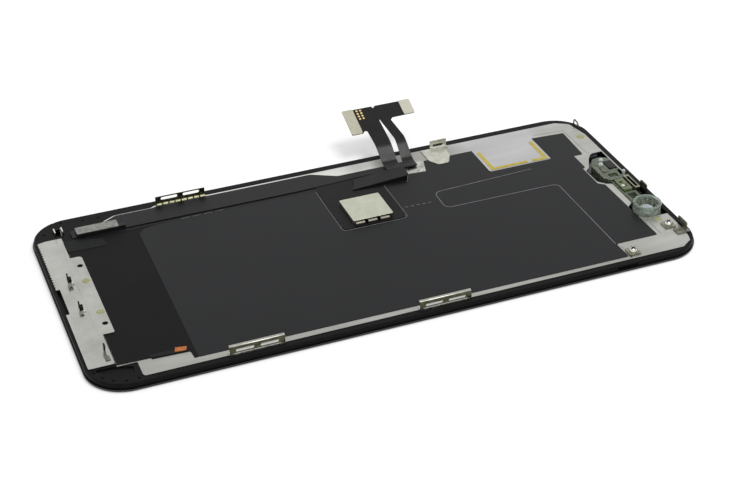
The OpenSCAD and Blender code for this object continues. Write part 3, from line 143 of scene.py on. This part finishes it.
def coverGlassMaterial():
    material, tree = openMaterial("StrengthenedGlassInkBorder")
    split = addNode(tree, "SeparateXYZ", None, {"Vector": addNode(tree, "TexCoord").outputs["Object"]})
    halfL = glassHigh.x - glassPrint["border"] * mm - glassPrint["corner"] * mm
    halfW = glassHigh.y - glassPrint["border"] * mm - glassPrint["corner"] * mm
    sides = []
    for axis, half in (("X", halfL), ("Y", halfW)):
        away = addNode(tree, "Math", {"operation": "ABSOLUTE"}, {0: split.outputs[axis]}).outputs[0]
        past = addNode(tree, "Math", {"operation": "SUBTRACT"}, {0: away, 1: half}).outputs[0]
        sides.append(addNode(tree, "Math", {"operation": "MAXIMUM"}, {0: past, 1: 0.0}).outputs[0])
    corner = addNode(tree, "CombineXYZ", None, {"X": sides[0], "Y": sides[1]}).outputs[0]
    reach = addNode(tree, "VectorMath", {"operation": "LENGTH"}, {0: corner}).outputs["Value"]
    inScreen = addNode(tree, "MapRange", None, {
        "Value": reach, "From Min": (glassPrint["corner"] + 0.1) * mm, "From Max": glassPrint["corner"] * mm}).outputs[0]
    notchMid = (glassPrint["notchFar"] + glassPrint["notchNear"]) / 2 * mm
    notchHalf = (glassPrint["notchFar"] - glassPrint["notchNear"]) / 2 * mm
    offMid = addNode(tree, "Math", {"operation": "SUBTRACT"}, {0: split.outputs["Y"], 1: notchMid}).outputs[0]
    across = addNode(tree, "Math", {"operation": "ABSOLUTE"}, {0: offMid}).outputs[0]
    outOfNotch = addNode(tree, "MapRange", None, {
        "Value": across, "From Min": notchHalf - 0.05 * mm, "From Max": notchHalf + 0.05 * mm}).outputs[0]
    notchEdge = glassHigh.x - (glassPrint["border"] + glassPrint["notchDeep"]) * mm
    belowNotch = addNode(tree, "MapRange", None, {
        "Value": split.outputs["X"], "From Min": notchEdge + 0.05 * mm, "From Max": notchEdge - 0.05 * mm}).outputs[0]
    clear = addNode(tree, "Math", {"operation": "MAXIMUM"}, {0: outOfNotch, 1: belowNotch}).outputs[0]
    lit = addNode(tree, "Math", {"operation": "MULTIPLY"}, {0: inScreen, 1: clear}).outputs[0]
    tone = addNode(tree, "Mix", {"data_type": "RGBA"}, {
        0: lit, 6: colour(glassPrint["ink"]), 7: colour(glassPrint["screen"])}).outputs[2]
    shader = addNode(tree, "BsdfPrincipled", None, {
        "Base Color": tone, "Roughness": glassPrint["roughness"], "IOR": 1.5}).outputs["BSDF"]
    closeMaterial(tree, shader)
    return material


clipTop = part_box("near_clip_1")[1].z / mm
plateTop = plateHigh.z / mm
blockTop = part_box("stiffener_block")[1].z / mm
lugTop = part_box("screw_lug_1")[1].z / mm
ringPlace = (71.6, -16.0)
goldLow, goldHigh = (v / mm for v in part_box("gold_strip"))
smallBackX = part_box("connector_back_b")[0].x / mm
springLow, springHigh = (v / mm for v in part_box("corner_spring"))
springMiddle = (springLow.x + springHigh.x) / 2

finishes = {
    # injection moulded glass-filled nylon, lightly spark-eroded texture that breaks up the shine
    "MouldedBlackNylon": {"dark": "#0f0f10", "light": "#161617", "grain": 1.6, "rough": (0.38, 0.5),
                          "relief": 0.012, "reliefGrain": 0.14, "shader": {"Specular IOR Level": 0.06}},
    # cold rolled stainless sheet, satin, with a faint rolling direction along the phone
    "RolledStainlessSheet": {"dark": "#999994", "light": "#afafaa", "grain": 5.0, "rough": (0.3, 0.42),
                             "relief": 0.004, "reliefGrain": 0.3, "stretch": (5, 1, 1),
                             "shader": {"Metallic": 1.0},
                             # painted light: the plate turns lighter from x 60 mm on to its right end
                             "zones": [{"dark": "#a9a9a4", "light": "#bcbcb7", "masks": [("X", 60, 68)]},
                                       {"dark": "#b1b1b1", "light": "#c3c3c4",
                                        "masks": [("X", goldLow.x - 7, goldLow.x - 1),
                                                  ("X", goldHigh.x + 5, goldHigh.x + 1),
                                                  ("Y", goldLow.y, goldLow.y + 0.1)]},
                                       # painted highlight: a near white strip of plate along the far edge, left of x 14
                                       # mm
                                       {"dark": "#cbcbc7", "light": "#e2e2de",
                                        "masks": [("Y", 28.5, 29), ("X", 18, 14)]}]},
    # stamped nickel-plated sheet of the lower bracket, smoother, so the lugs mirror in it
    "NickelPlatedSheet": {"dark": "#a6a6a1", "light": "#b9b9b4", "grain": 6.0, "rough": (0.16, 0.26),
                          "relief": 0.002, "reliefGrain": 0.5, "shader": {"Metallic": 1.0}},
    # spring steel clips of the near side, plated grey, with painted shade making the outer wall dark olive and a
    # painted highlight making them lighter above the plate
    "PlatedClipSteel": {"dark": "#93938c", "light": "#b1b1aa", "grain": 1.2, "rough": (0.26, 0.38),
                        "relief": 0.003, "reliefGrain": 0.2, "shader": {"Metallic": 1.0},
                        # painted shade on the outer wall
                        "zones": [{"dark": "#3b3b2e", "light": "#5a5948",
                                   "masks": [("Y", -35.45, -35.6), ("Z", clipTop - 0.12, clipTop - 0.2)]},
                                  # painted highlight: lighter above the plate
                                  {"dark": "#b9b9b4", "light": "#d4d4cf", "masks": [("Z", plateTop + 0.5, plateTop + 0.4)]}]},
    # the same steel at the far side, olive, painted dark as shade, and lighter above the plate as painted light
    "DarkClipSteel": {"dark": "#2c2c22", "light": "#4d4c3b", "grain": 1.0, "rough": (0.26, 0.38),
                      "relief": 0.003, "reliefGrain": 0.2, "shader": {"Metallic": 1.0},
                      # painted light: lighter above the plate
                      "zones": [{"dark": "#5b5a45", "light": "#82816a", "masks": [("Z", plateTop + 0.5, plateTop + 0.4)]}]},
    # short far clip, tinned and pale
    "PaleClipSteel": {"dark": "#b5b5a9", "light": "#d0d0c4", "grain": 1.4, "rough": (0.3, 0.42),
                      "relief": 0.003, "reliefGrain": 0.2, "shader": {"Metallic": 0.9}},
    # soldered contact humps, tinned, cream where flux is left
    "TinnedHumps": {"dark": "#8d8b66", "light": "#c6c4a4", "grain": 0.5, "rough": (0.3, 0.45),
                    "relief": 0.01, "reliefGrain": 0.25, "shader": {"Metallic": 0.6}},
    # bright nickel of the shield can
    "BrightNickelCan": {"dark": "#b7b9a7", "light": "#c6c8b8", "grain": 3.5, "rough": (0.22, 0.32),
                        "relief": 0.002, "reliefGrain": 0.4, "shader": {"Metallic": 1.0}},
    # tin plated contact of the corner, bright cheeks round a middle darkened by painted shade, where it lies deep in
    # its pocket
    "TinnedContact": {"dark": "#c9c9c4", "light": "#e2e2dd", "grain": 1.0, "rough": (0.2, 0.3),
                      "relief": 0.002, "reliefGrain": 0.3, "shader": {"Metallic": 1.0},
                      # painted shade in the deep middle of the contact
                      "zones": [{"dark": "#1c1c1a", "light": "#33332f",
                                 "masks": [("X", springMiddle - 0.75, springMiddle - 0.6),
                                           ("X", springMiddle + 0.75, springMiddle + 0.6)]}]},
    # screw lugs of bright steel, painted dark for the dark surroundings they mirror, lighter at the foot
    "SteelPaintedDark": {"dark": "#121211", "light": "#262623", "grain": 1.0, "rough": (0.2, 0.32),
                          "relief": 0.002, "reliefGrain": 0.3, "shader": {"Metallic": 1.0},
                          "zones": [{"dark": "#a5a5a0", "light": "#cfcfca",
                                     "masks": [("Z", lugTop - 1.75, lugTop - 1.95)]}]},
    # hook at the lower end, painted dark for the dark surroundings it mirrors, lighter at the foot
    "DarkHookSteel": {"dark": "#1d1d1a", "light": "#3d3d38", "grain": 0.8, "rough": (0.2, 0.32),
                      "relief": 0.003, "reliefGrain": 0.2, "shader": {"Metallic": 1.0},
                      "zones": [{"dark": "#50504a", "light": "#8b8b84",
                                 "masks": [("Z", lugTop - 1.5, lugTop - 1.7)]}]},
    # bent hooks, dull steel
    "BentHookSteel": {"dark": "#5d5d52", "light": "#8e8e82", "grain": 1.0, "rough": (0.26, 0.38),
                      "relief": 0.003, "reliefGrain": 0.2, "shader": {"Metallic": 1.0}},
    # bright frame of the earpiece and the nut plates
    "SatinNickelFrame": {"dark": "#6f6f5d", "light": "#a6a695", "grain": 0.8, "rough": (0.24, 0.34),
                         "relief": 0.003, "reliefGrain": 0.2, "shader": {"Metallic": 1.0}},
    # screw heads, nickel plated and turned
    "NickelScrew": {"dark": "#c2c1b9", "light": "#e6e5de", "grain": 0.6, "rough": (0.12, 0.2),
                    "relief": 0.002, "reliefGrain": 0.15, "shader": {"Metallic": 1.0}},
    # graphite sheet under matt black polyester film, faint mottling from the pressed graphite
    "GraphitePolyesterFilm": {"dark": "#141517", "light": "#1b1c1e", "grain": 9.0, "rough": (0.36, 0.46),
                              "relief": 0.003, "reliefGrain": 0.8, "shader": {"Specular IOR Level": 0.14}},
    # black adhesive film at the lower end, a touch darker and duller
    "BlackAdhesiveFilm": {"dark": "#0f0f10", "light": "#151517", "grain": 6.0, "rough": (0.45, 0.58),
                          "relief": 0.004, "reliefGrain": 0.9, "shader": {"Specular IOR Level": 0.07}},
    # black cloth-backed tape
    "BlackClothTape": {"dark": "#161718", "light": "#212223", "grain": 0.5, "rough": (0.5, 0.65),
                       "relief": 0.01, "reliefGrain": 0.25, "shader": {"Specular IOR Level": 0.1}},
    # polyimide tape, amber and glossy
    "AmberPolyimide": {"dark": "#a8541f", "light": "#c97838", "grain": 0.8, "rough": (0.18, 0.3),
                       "relief": 0.004, "reliefGrain": 0.4, "shader": {"Specular IOR Level": 0.25}},
    # gold flashed copper, reddish where the flash is thin
    "GoldFlashedCopper": {"dark": "#ad9a3c", "light": "#cbb856", "grain": 1.5, "rough": (0.25, 0.4),
                          "relief": 0.004, "reliefGrain": 0.3, "shader": {"Metallic": 0.9}},
    # pale gold of the test pads
    "PaleGoldPads": {"dark": "#d9bd7c", "light": "#f0d9a0", "grain": 0.4, "rough": (0.25, 0.4),
                     "relief": 0.004, "reliefGrain": 0.1, "shader": {"Metallic": 0.9}},
    # crinkled aluminium foil tape
    "CrinkledAluminiumFoil": {"dark": "#8c8c87", "light": "#d9d9d3", "grain": 1.0, "rough": (0.2, 0.4),
                              "relief": 0.06, "reliefGrain": 0.9, "shader": {"Metallic": 1.0}},
    # cured glue gone yellow, thin over bright steel
    "YellowedGlue": {"dark": "#8f905f", "light": "#b3b286", "grain": 0.7, "rough": (0.3, 0.45),
                     "relief": 0.01, "reliefGrain": 0.5, "shader": {"Specular IOR Level": 0.3}},
    # flexible circuit with black coverlay, satin, copper tracks just show in the relief
    "BlackCoverlayFlex": {"dark": "#121214", "light": "#1b1b1d", "grain": 2.4, "rough": (0.3, 0.42),
                          "relief": 0.006, "reliefGrain": 0.5, "stretch": (4, 1, 1),
                          "shader": {"Specular IOR Level": 0.14}},
    # the tail's coverlay, glossier, so a sheen runs over its bends
    "GlossyTailFlex": {"dark": "#090909", "light": "#101010", "grain": 2.4, "rough": (0.22, 0.32),
                       "relief": 0.005, "reliefGrain": 0.5, "stretch": (1, 4, 1),
                       "shader": {"Specular IOR Level": 0.24}},
    # bare solder mask of the driver board, nearly black
    "BlackSolderMask": {"dark": "#0b0b0c", "light": "#131315", "grain": 1.0, "rough": (0.3, 0.42),
                        "relief": 0.004, "reliefGrain": 0.3, "shader": {"Specular IOR Level": 0.09}},
    # paper phenolic stiffener, grey on top over black sides
    "GreyStiffener": {"dark": "#70706c", "light": "#a6a6a1", "grain": 0.9, "rough": (0.5, 0.65),
                      "relief": 0.01, "reliefGrain": 0.2, "shader": {"Specular IOR Level": 0.2},
                      "zones": [{"dark": "#121211", "light": "#1f1f1d",
                                 "masks": [("Z", blockTop - 0.1, blockTop - 0.2)]}]},
    # glass epoxy stiffener, cream, unpainted
    "CreamGlassEpoxy": {"dark": "#bfbba6", "light": "#cdc9b6", "grain": 1.4, "rough": (0.4, 0.5),
                        "relief": 0.006, "reliefGrain": 0.2, "shader": {"Specular IOR Level": 0.3},
                        "zones": [{"dark": "#cdcbbb", "light": "#dad8c9",
                                   "masks": [("X", smallBackX - 0.3, smallBackX - 0.2)]}]},
    # moulded liquid crystal polymer of the plugs
    "MouldedPlugPolymer": {"dark": "#3b362f", "light": "#5b5349", "grain": 0.6, "rough": (0.45, 0.55),
                           "relief": 0.004, "reliefGrain": 0.1},
    # epoxy moulded chip body
    "ChipEpoxy": {"dark": "#0f0f11", "light": "#19191c", "grain": 0.5, "rough": (0.3, 0.42),
                  "relief": 0.005, "reliefGrain": 0.08, "shader": {"Specular IOR Level": 0.2}},
    # sintered capacitor bodies, cream
    "CapacitorCeramic": {"dark": "#cfc9b6", "light": "#e6e1d2", "grain": 0.5, "rough": (0.35, 0.5),
                         "relief": 0.003, "reliefGrain": 0.1},
    # greenish polycarbonate of the sensor holder, half clear, dark where it is thick, pale in the ring
    "GreenPolycarbonate": {"dark": "#2e3c22", "light": "#c0cfab", "grain": 0.75, "rough": (0.04, 0.14),
                           "relief": 0.07, "reliefGrain": 0.7, "reliefStrength": 0.8,
                           "shader": {"Transmission Weight": 0.7, "IOR": 1.5},
                           "zones": [{"dark": "#9fb5a2", "light": "#dfeae0",
                                      "masks": [(ringPlace, 4.3, 3.8)]},
                                     {"dark": "#c4cbb9", "light": "#eef3ea",
                                      "masks": [(ringPlace, 4.3, 3.8), ("Z", 3.5, 3.1)]}]},
    # coated glass lens, bluish
    "BluishCoatedLens": {"dark": "#aebfc6", "light": "#e9f2f5", "grain": 0.8, "rough": (0.03, 0.06),
                         "relief": 0.002, "reliefGrain": 0.3, "shader": {"Transmission Weight": 0.35, "IOR": 1.52}},
    # water clear acrylic of the light pipe, left part opaque and near white as a painted highlight for the glints on
    # its domes
    "ClearAcrylic": {"dark": "#dbe6e6", "light": "#f6faf8", "grain": 0.8, "rough": (0.03, 0.08),
                     "relief": 0.002, "reliefGrain": 0.3, "shader": {"Transmission Weight": 0.4, "IOR": 1.49}},
    # green tinted housing of the microphone
    "OliveMicrophoneCase": {"dark": "#39452c", "light": "#76845c", "grain": 0.6, "rough": (0.12, 0.22),
                            "relief": 0.004, "reliefGrain": 0.3, "shader": {"Specular IOR Level": 0.4}},
    # silicone foam gasket
    "GreyFoamGasket": {"dark": "#4a4f43", "light": "#6d7465", "grain": 0.4, "rough": (0.7, 0.85),
                       "relief": 0.03, "reliefGrain": 0.15},
    # woven acoustic mesh, too fine to show thread by thread
    "AcousticMesh": {"dark": "#0d0d0d", "light": "#1b1b1b", "grain": 0.2, "rough": (0.6, 0.8),
                     "relief": 0.02, "reliefGrain": 0.1},
    # layers inside the panel, only their edges could show
    "PanelFilm": {"dark": "#1e2025", "light": "#26282d", "grain": 4.0, "rough": (0.2, 0.3),
                  "relief": 0.002, "reliefGrain": 0.5},
    "PanelGlass": {"dark": "#4f5b62", "light": "#5d6a72", "grain": 8.0, "rough": (0.08, 0.12),
                   "relief": 0.001, "reliefGrain": 1.0},
    "DiffuserFilm": {"dark": "#e6e8e6", "light": "#f2f3f0", "grain": 3.0, "rough": (0.5, 0.6),
                     "relief": 0.002, "reliefGrain": 0.1},
    "DiodeStrip": {"dark": "#d9cd90", "light": "#eee3ae", "grain": 1.0, "rough": (0.4, 0.5),
                   "relief": 0.004, "reliefGrain": 0.2},
    # pale raised lip where a film was scored or cut
    "ScoredLip": {"dark": "#77777a", "light": "#98989b", "grain": 2.0, "rough": (0.4, 0.5),
                  "relief": 0.002, "reliefGrain": 0.3, "shader": {"Specular IOR Level": 0.2}},
}

nodeFinish = {
    "MouldedBlackNylon": ["bezel_frame"],
    "RolledStainlessSheet": ["backplate"],
    "NickelPlatedSheet": ["lower_bracket"],
    "PlatedClipSteel": ["near_clip_1", "near_clip_2"],
    "DarkClipSteel": ["far_clip_1"],
    "PaleClipSteel": ["far_clip_2"],
    "TinnedHumps": ["contact_bumps"],
    "BrightNickelCan": ["shield_can"],
    "TinnedContact": ["corner_spring"],
    "SteelPaintedDark": ["screw_lug_1", "screw_lug_2"],
    "DarkHookSteel": ["lower_hook"],
    "BentHookSteel": ["end_hook_a", "end_hook_b", "end_hook_c"],
    "SatinNickelFrame": ["earpiece_frame", "nut_plates"],
    "NickelScrew": ["corner_screws"],
    "GraphitePolyesterFilm": ["graphite_film"],
    "BlackAdhesiveFilm": ["lower_film"],
    "BlackClothTape": ["black_tape", "edge_tape"],
    "AmberPolyimide": ["kapton_tab"],
    "GoldFlashedCopper": ["gold_strip"],
    "PaleGoldPads": ["test_pads"],
    "CrinkledAluminiumFoil": ["silver_foil"],
    "YellowedGlue": ["glue_spots"],
    "BlackCoverlayFlex": ["main_flex", "folded_flex"],
    "BlackSolderMask": ["driver_board"],
    "GlossyTailFlex": ["tail_stiffener", "flex_tail"],
    "GreyStiffener": ["stiffener_block"],
    "CreamGlassEpoxy": ["connector_back_a", "connector_back_b"],
    "MouldedPlugPolymer": ["connector_plug_a", "connector_plug_b"],
    "ChipEpoxy": ["driver_chip", "flex_component", "proximity_sensor"],
    "CapacitorCeramic": ["shield_capacitors"],
    "GreenPolycarbonate": ["sensor_holder"],
    "OliveMicrophoneCase": ["microphone"],
    "ClearAcrylic": ["light_pipe"],
    "GreyFoamGasket": ["sensor_gasket"],
    "AcousticMesh": ["earpiece_mesh"],
    "PanelFilm": ["front_polariser", "rear_polariser"],
    "PanelGlass": ["lcd_cell"],
    "DiffuserFilm": ["optical_adhesive", "backlight_films", "light_guide"],
    "DiodeStrip": ["led_strip"],
}

materials = {name: surface(name, spec) for name, spec in finishes.items()}
materials["StrengthenedGlassInkBorder"] = coverGlassMaterial()
nodeFinish["StrengthenedGlassInkBorder"] = ["cover_glass"]


def dress(piece, material):
    if not piece.material_slots:
        piece.data.materials.append(material)
    for holder in piece.material_slots:
        holder.material = material


for finishName, names in nodeFinish.items():
    for name in names:
        dress(nodes[name], materials[finishName])
print("finishes:", len(materials))


def addPiece(name, bm, material):
    mesh = bpy.data.meshes.new(name)
    bm.to_mesh(mesh)
    bm.free()
    piece = bpy.data.objects.new(name, mesh)
    bpy.context.collection.objects.link(piece)
    dress(piece, material)
    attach(piece, "root")
    return piece


# edges rounded on a merged copy of a node, which then stands for it: width in mm, sharpest angle kept
roundedNodes = {
    "shield_can": (0.16, 3), "stiffener_block": (0.16, 3), "connector_back_a": (0.06, 2),
    "connector_back_b": (0.06, 2), "near_clip_1": (0.06, 2), "near_clip_2": (0.06, 2), "far_clip_2": (0.06, 2),
    "far_clip_1": (0.06, 2), "lower_bracket": (0.08, 2), "corner_screws": (0.08, 2), "screw_lug_1": (0.08, 2),
    "screw_lug_2": (0.08, 2), "lower_hook": (0.08, 2), "shield_capacitors": (0.08, 2), "microphone": (0.1, 2),
}
roundedAngle = {"merge": 0.001, "flat": 1.0, "sharp": 50.0, "smooth": 32.0}


def roundEdges(nodeName, width, segments):
    bm = bmesh.new()
    bm.from_mesh(nodes[nodeName].data)
    bmesh.ops.remove_doubles(bm, verts=bm.verts[:], dist=roundedAngle["merge"] * mm)
    bmesh.ops.dissolve_limit(bm, angle_limit=math.radians(roundedAngle["flat"]), verts=bm.verts[:],
                             edges=bm.edges[:])
    sharp = [e for e in bm.edges if e.is_manifold and e.calc_face_angle() > math.radians(roundedAngle["sharp"])]
    bmesh.ops.bevel(bm, geom=sharp, offset=width * mm, offset_type="OFFSET", affect="EDGES", segments=segments,
                    profile=0.5, material=-1, clamp_overlap=True)
    finish = nodes[nodeName].material_slots[0].material
    piece = addPiece("".join(word.capitalize() for word in nodeName.split("_")) + "Rounded", bm, finish)
    piece.data.shade_smooth()
    piece.data.set_sharp_from_angle(angle=math.radians(roundedAngle["smooth"]))
    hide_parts(nodeName)


for name, (width, segments) in roundedNodes.items():
    roundEdges(name, width, segments)
print("rounded:", len(roundedNodes))

# scored lips on the films, mm: each run is a polyline, with its width and the radius of its corners
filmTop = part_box("graphite_film")[1].z / mm
boardLow, boardHigh = (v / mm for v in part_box("driver_board"))
scoredLines = {
    "rise": 0.05, "sunk": 0.02, "steps": 5,
    "runs": {
        "FilmContourLip": {"points": [(53.0, 13.5), (24.5, 12.2), (24.2, 4.0), (53.9, 3.9), (56.1, 3.4), (56.2, -28.0)],
                           "radius": 2.0, "width": 0.14},
        "FilmDashedLip": {"points": [(14.6, 8.4), (22.7, 8.2)], "radius": 0, "width": 0.14, "dash": (0.9, 0.7)},
        "FilmFarEdgeLip": {"points": [(-40.0, 25.3), (-28.0, 25.4)], "radius": 0, "width": 0.07, "dash": (2.2, 0.8)},
        "FilmWindowLip": {"points": [(boardLow.x - 0.3, boardHigh.y - 3.0), (boardLow.x - 0.3, boardLow.y - 0.3),
                                     (boardHigh.x + 0.3, boardLow.y - 0.3), (boardHigh.x + 0.3, boardHigh.y - 6.6)],
                          "radius": 1.5, "width": 0.09},
    },
}


# the run's points with an arc at each inner corner
def roundedRun(points, radius, steps):
    run = [Vector(points[0])]
    for before, corner, after in zip(points, points[1:], points[2:]):
        corner = Vector(corner)
        into = (Vector(before) - corner).normalized()
        out = (Vector(after) - corner).normalized()
        half = into.angle(out) / 2
        cut = min(radius / math.tan(half), (Vector(before) - corner).length / 2, (Vector(after) - corner).length / 2)
        for step in range(steps + 1):
            t = step / steps
            run.append(corner + into * cut * (1 - t) ** 2 + out * cut * t ** 2)
    run.append(Vector(points[-1]))
    return run


# the run cut into dashes of one length with gaps of another
def dashes(start, end, dash, gap):
    way = end - start
    count = int(way.length / (dash + gap))
    along = way.normalized()
    return [[start + along * i * (dash + gap), start + along * (i * (dash + gap) + dash)] for i in range(count)]


def buildScoredLine(name, run, spec):
    line = roundedRun(run["points"], run["radius"], spec["steps"])
    chains = dashes(line[0], line[-1], *run["dash"]) if "dash" in run else [line]
    bm = bmesh.new()
    for chain in chains:
        verts = [bm.verts.new((p.x * mm, p.y * mm, (filmTop - spec["sunk"]) * mm)) for p in chain]
        edges = [bm.edges.new(pair) for pair in zip(verts, verts[1:])]
        grown = bmesh.ops.extrude_edge_only(bm, edges=edges)["geom"]
        bmesh.ops.translate(bm, verts=[v for v in grown if isinstance(v, bmesh.types.BMVert)],
                            vec=(0, 0, (spec["rise"] + spec["sunk"]) * mm))
    bmesh.ops.solidify(bm, geom=bm.faces[:], thickness=run["width"] * mm)
    bmesh.ops.recalc_face_normals(bm, faces=bm.faces[:])
    addPiece(name, bm, materials["ScoredLip"])


for name, run in scoredLines["runs"].items():
    buildScoredLine(name, run, scoredLines)
print("scored lines")

# a dark cross on each screw head as painted shade of its recess, lens in the camera ring, and the pale port of the
# microphone
screwCross = {"length": 1.3, "width": 0.3, "depth": 0.08, "turn": 25}
ringLens = {"radius": 2.0, "height": 1.0, "segments": 32, "rings": 16}
microphonePort = {"place": (71.1, -4.4), "size": (0.9, 0.9, 0.12), "edge": 0.04}


# middles of the separate tops of a node's solids
def topMiddles(nodeName, apart):
    tops = [v.co.copy() for v in nodes[nodeName].data.vertices]
    groups = []
    for co in sorted(tops, key=lambda v: -v.z):
        near = [g for g in groups if (g[0] - co).xy.length < apart * mm]
        if near:
            near[0].append(co)
        else:
            groups.append([co])
    middles = []
    for group in groups:
        xs, ys = [v.x for v in group], [v.y for v in group]
        middles.append(Vector(((min(xs) + max(xs)) / 2, (min(ys) + max(ys)) / 2, max(v.z for v in group))))
    return middles


def addBox(bm, size, turn, place):
    made = bmesh.ops.create_cube(bm, size=1.0)["verts"]
    bmesh.ops.scale(bm, verts=made, vec=[v * mm for v in size])
    bmesh.ops.rotate(bm, verts=made, matrix=Matrix.Rotation(math.radians(turn), 3, "Z"))
    bmesh.ops.translate(bm, verts=made, vec=place)


def buildScrewCrosses(spec):
    bm = bmesh.new()
    for middle in topMiddles("corner_screws", 3.0):
        place = middle - Vector((0, 0, spec["depth"] * 0.4 * mm))
        for quarter in (0, 90):
            addBox(bm, (spec["length"], spec["width"], spec["depth"]), spec["turn"] + quarter, place)
    # painted shade: a thin dark cross laid where the recess of each screw head is in shadow
    addPiece("ScrewCrossRecessShade", bm, materials["SteelPaintedDark"])


def buildRingLens(spec):
    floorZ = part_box("sensor_holder")[0].z
    bm = bmesh.new()
    bmesh.ops.create_uvsphere(bm, u_segments=spec["segments"], v_segments=spec["rings"], radius=spec["radius"] * mm)
    bmesh.ops.scale(bm, verts=bm.verts[:], vec=(1, 1, spec["height"] / spec["radius"]))
    bmesh.ops.translate(bm, verts=bm.verts[:], vec=(ringPlace[0] * mm, ringPlace[1] * mm, floorZ + 1.2 * mm))
    piece = addPiece("RingLens", bm, materials["BluishCoatedLens"])
    piece.data.shade_smooth()


def buildMicrophonePort(spec):
    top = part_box("microphone")[1].z
    bm = bmesh.new()
    addBox(bm, spec["size"], 0, Vector((spec["place"][0] * mm, spec["place"][1] * mm, top)))
    bmesh.ops.bevel(bm, geom=bm.edges[:], offset=spec["edge"] * mm, offset_type="OFFSET", affect="EDGES",
                    segments=2, profile=0.5, material=-1, clamp_overlap=True)
    addPiece("MicrophonePort", bm, materials["TinnedContact"])


buildScrewCrosses(screwCross)
buildRingLens(ringLens)
buildMicrophonePort(microphonePort)
print("small parts")


# the photograph's view: directions from its azimuth, elevation and roll
viewPoint = {"azimuth": -22.236, "elevation": 32.553, "roll": -0.3085, "target": (11.582, -5.106, 0.0),
             "distance": 410.22, "focal": 1635.62, "middleX": 414.16, "middleY": 243.46, "width": 730, "height": 487}


def placeCamera(spec):
    az = math.radians(spec["azimuth"])
    el = math.radians(spec["elevation"])
    roll = math.radians(spec["roll"])
    back = Vector((math.sin(az) * math.cos(el), -math.cos(az) * math.cos(el), math.sin(el)))
    right = Vector((math.cos(az), math.sin(az), 0))
    up = back.cross(right)
    right, up = math.cos(roll) * right + math.sin(roll) * up, math.cos(roll) * up - math.sin(roll) * right
    data = bpy.data.cameras.new("PhotoCamera")
    data.sensor_width = 36
    data.sensor_fit = "HORIZONTAL"
    data.lens = spec["focal"] * data.sensor_width / spec["width"]
    data.shift_x = (spec["width"] / 2 - spec["middleX"]) / spec["width"]
    data.shift_y = (spec["middleY"] - spec["height"] / 2) / spec["width"]
    data.clip_start = 0.01
    camera = bpy.data.objects.new("PhotoCamera", data)
    bpy.context.collection.objects.link(camera)
    turn = Matrix((right, up, back)).transposed().to_4x4()
    camera.matrix_world = Matrix.Translation((Vector(spec["target"]) + back * spec["distance"]) * mm) @ turn
    bpy.context.scene.camera = camera


placeCamera(viewPoint)
print("camera")

studio = {"floorSize": 3.0, "floorTone": "#f4f4f4", "floorLift": 0.3, "dome": 0.6,
          "boxHeight": 0.8, "boxSize": 0.32, "boxPower": 2.6, "boxShift": (0.2, -0.27)}


def buildStudio(spec):
    bm = bmesh.new()
    bmesh.ops.create_grid(bm, x_segments=1, y_segments=1, size=spec["floorSize"] / 2)
    mesh = bpy.data.meshes.new("Floor")
    bm.to_mesh(mesh)
    bm.free()
    mesh.transform(Matrix.Translation((0, 0, -0.02 * mm)))
    floor = bpy.data.objects.new("Floor", mesh)
    bpy.context.collection.objects.link(floor)
    # matt paper sweep, lifted to white where the camera or a reflection sees it unshaded
    material, tree = openMaterial("PaperSweep")
    path = addNode(tree, "LightPath")
    seen = addNode(tree, "Math", {"operation": "MAXIMUM"}, {
        0: path.outputs["Is Camera Ray"], 1: path.outputs["Is Glossy Ray"]}).outputs[0]
    seen = addNode(tree, "Math", {"operation": "MAXIMUM"}, {
        0: seen, 1: path.outputs["Is Transmission Ray"]}).outputs[0]
    lift = addNode(tree, "Math", {"operation": "MULTIPLY"}, {0: seen, 1: spec["floorLift"]}).outputs[0]
    paper = addNode(tree, "BsdfDiffuse", None, {"Color": colour(spec["floorTone"])}).outputs[0]
    glow = addNode(tree, "Emission", None, {"Color": (1, 1, 1, 1), "Strength": lift}).outputs[0]
    closeMaterial(tree, addNode(tree, "AddShader", None, {0: paper, 1: glow}).outputs[0])
    dress(floor, material)

    world = bpy.data.worlds.new("PlainDome")
    bpy.context.scene.world = world
    world.use_nodes = True
    tree = world.node_tree
    tree.nodes.clear()
    path = addNode(tree, "LightPath")
    seen = addNode(tree, "Math", {"operation": "MAXIMUM"}, {
        0: path.outputs["Is Camera Ray"], 1: path.outputs["Is Glossy Ray"]}).outputs[0]
    seen = addNode(tree, "Math", {"operation": "MAXIMUM"}, {
        0: seen, 1: path.outputs["Is Transmission Ray"]}).outputs[0]
    level = addNode(tree, "MapRange", None, {"Value": seen, "To Min": spec["dome"], "To Max": 1.0}).outputs[0]
    sky = addNode(tree, "Background", None, {"Color": (1, 1, 1, 1), "Strength": level}).outputs[0]
    addNode(tree, "OutputWorld", None, {"Surface": sky})

    lamp = bpy.data.lights.new("Softbox", "AREA")
    lamp.shape = "SQUARE"
    lamp.size = spec["boxSize"]
    lamp.energy = spec["boxPower"]
    softbox = bpy.data.objects.new("Softbox", lamp)
    bpy.context.collection.objects.link(softbox)
    softbox.location = (spec["boxShift"][0], spec["boxShift"][1], spec["boxHeight"])


buildStudio(studio)
scene = bpy.context.scene
scene.view_settings.view_transform = "Standard"
print("studio")
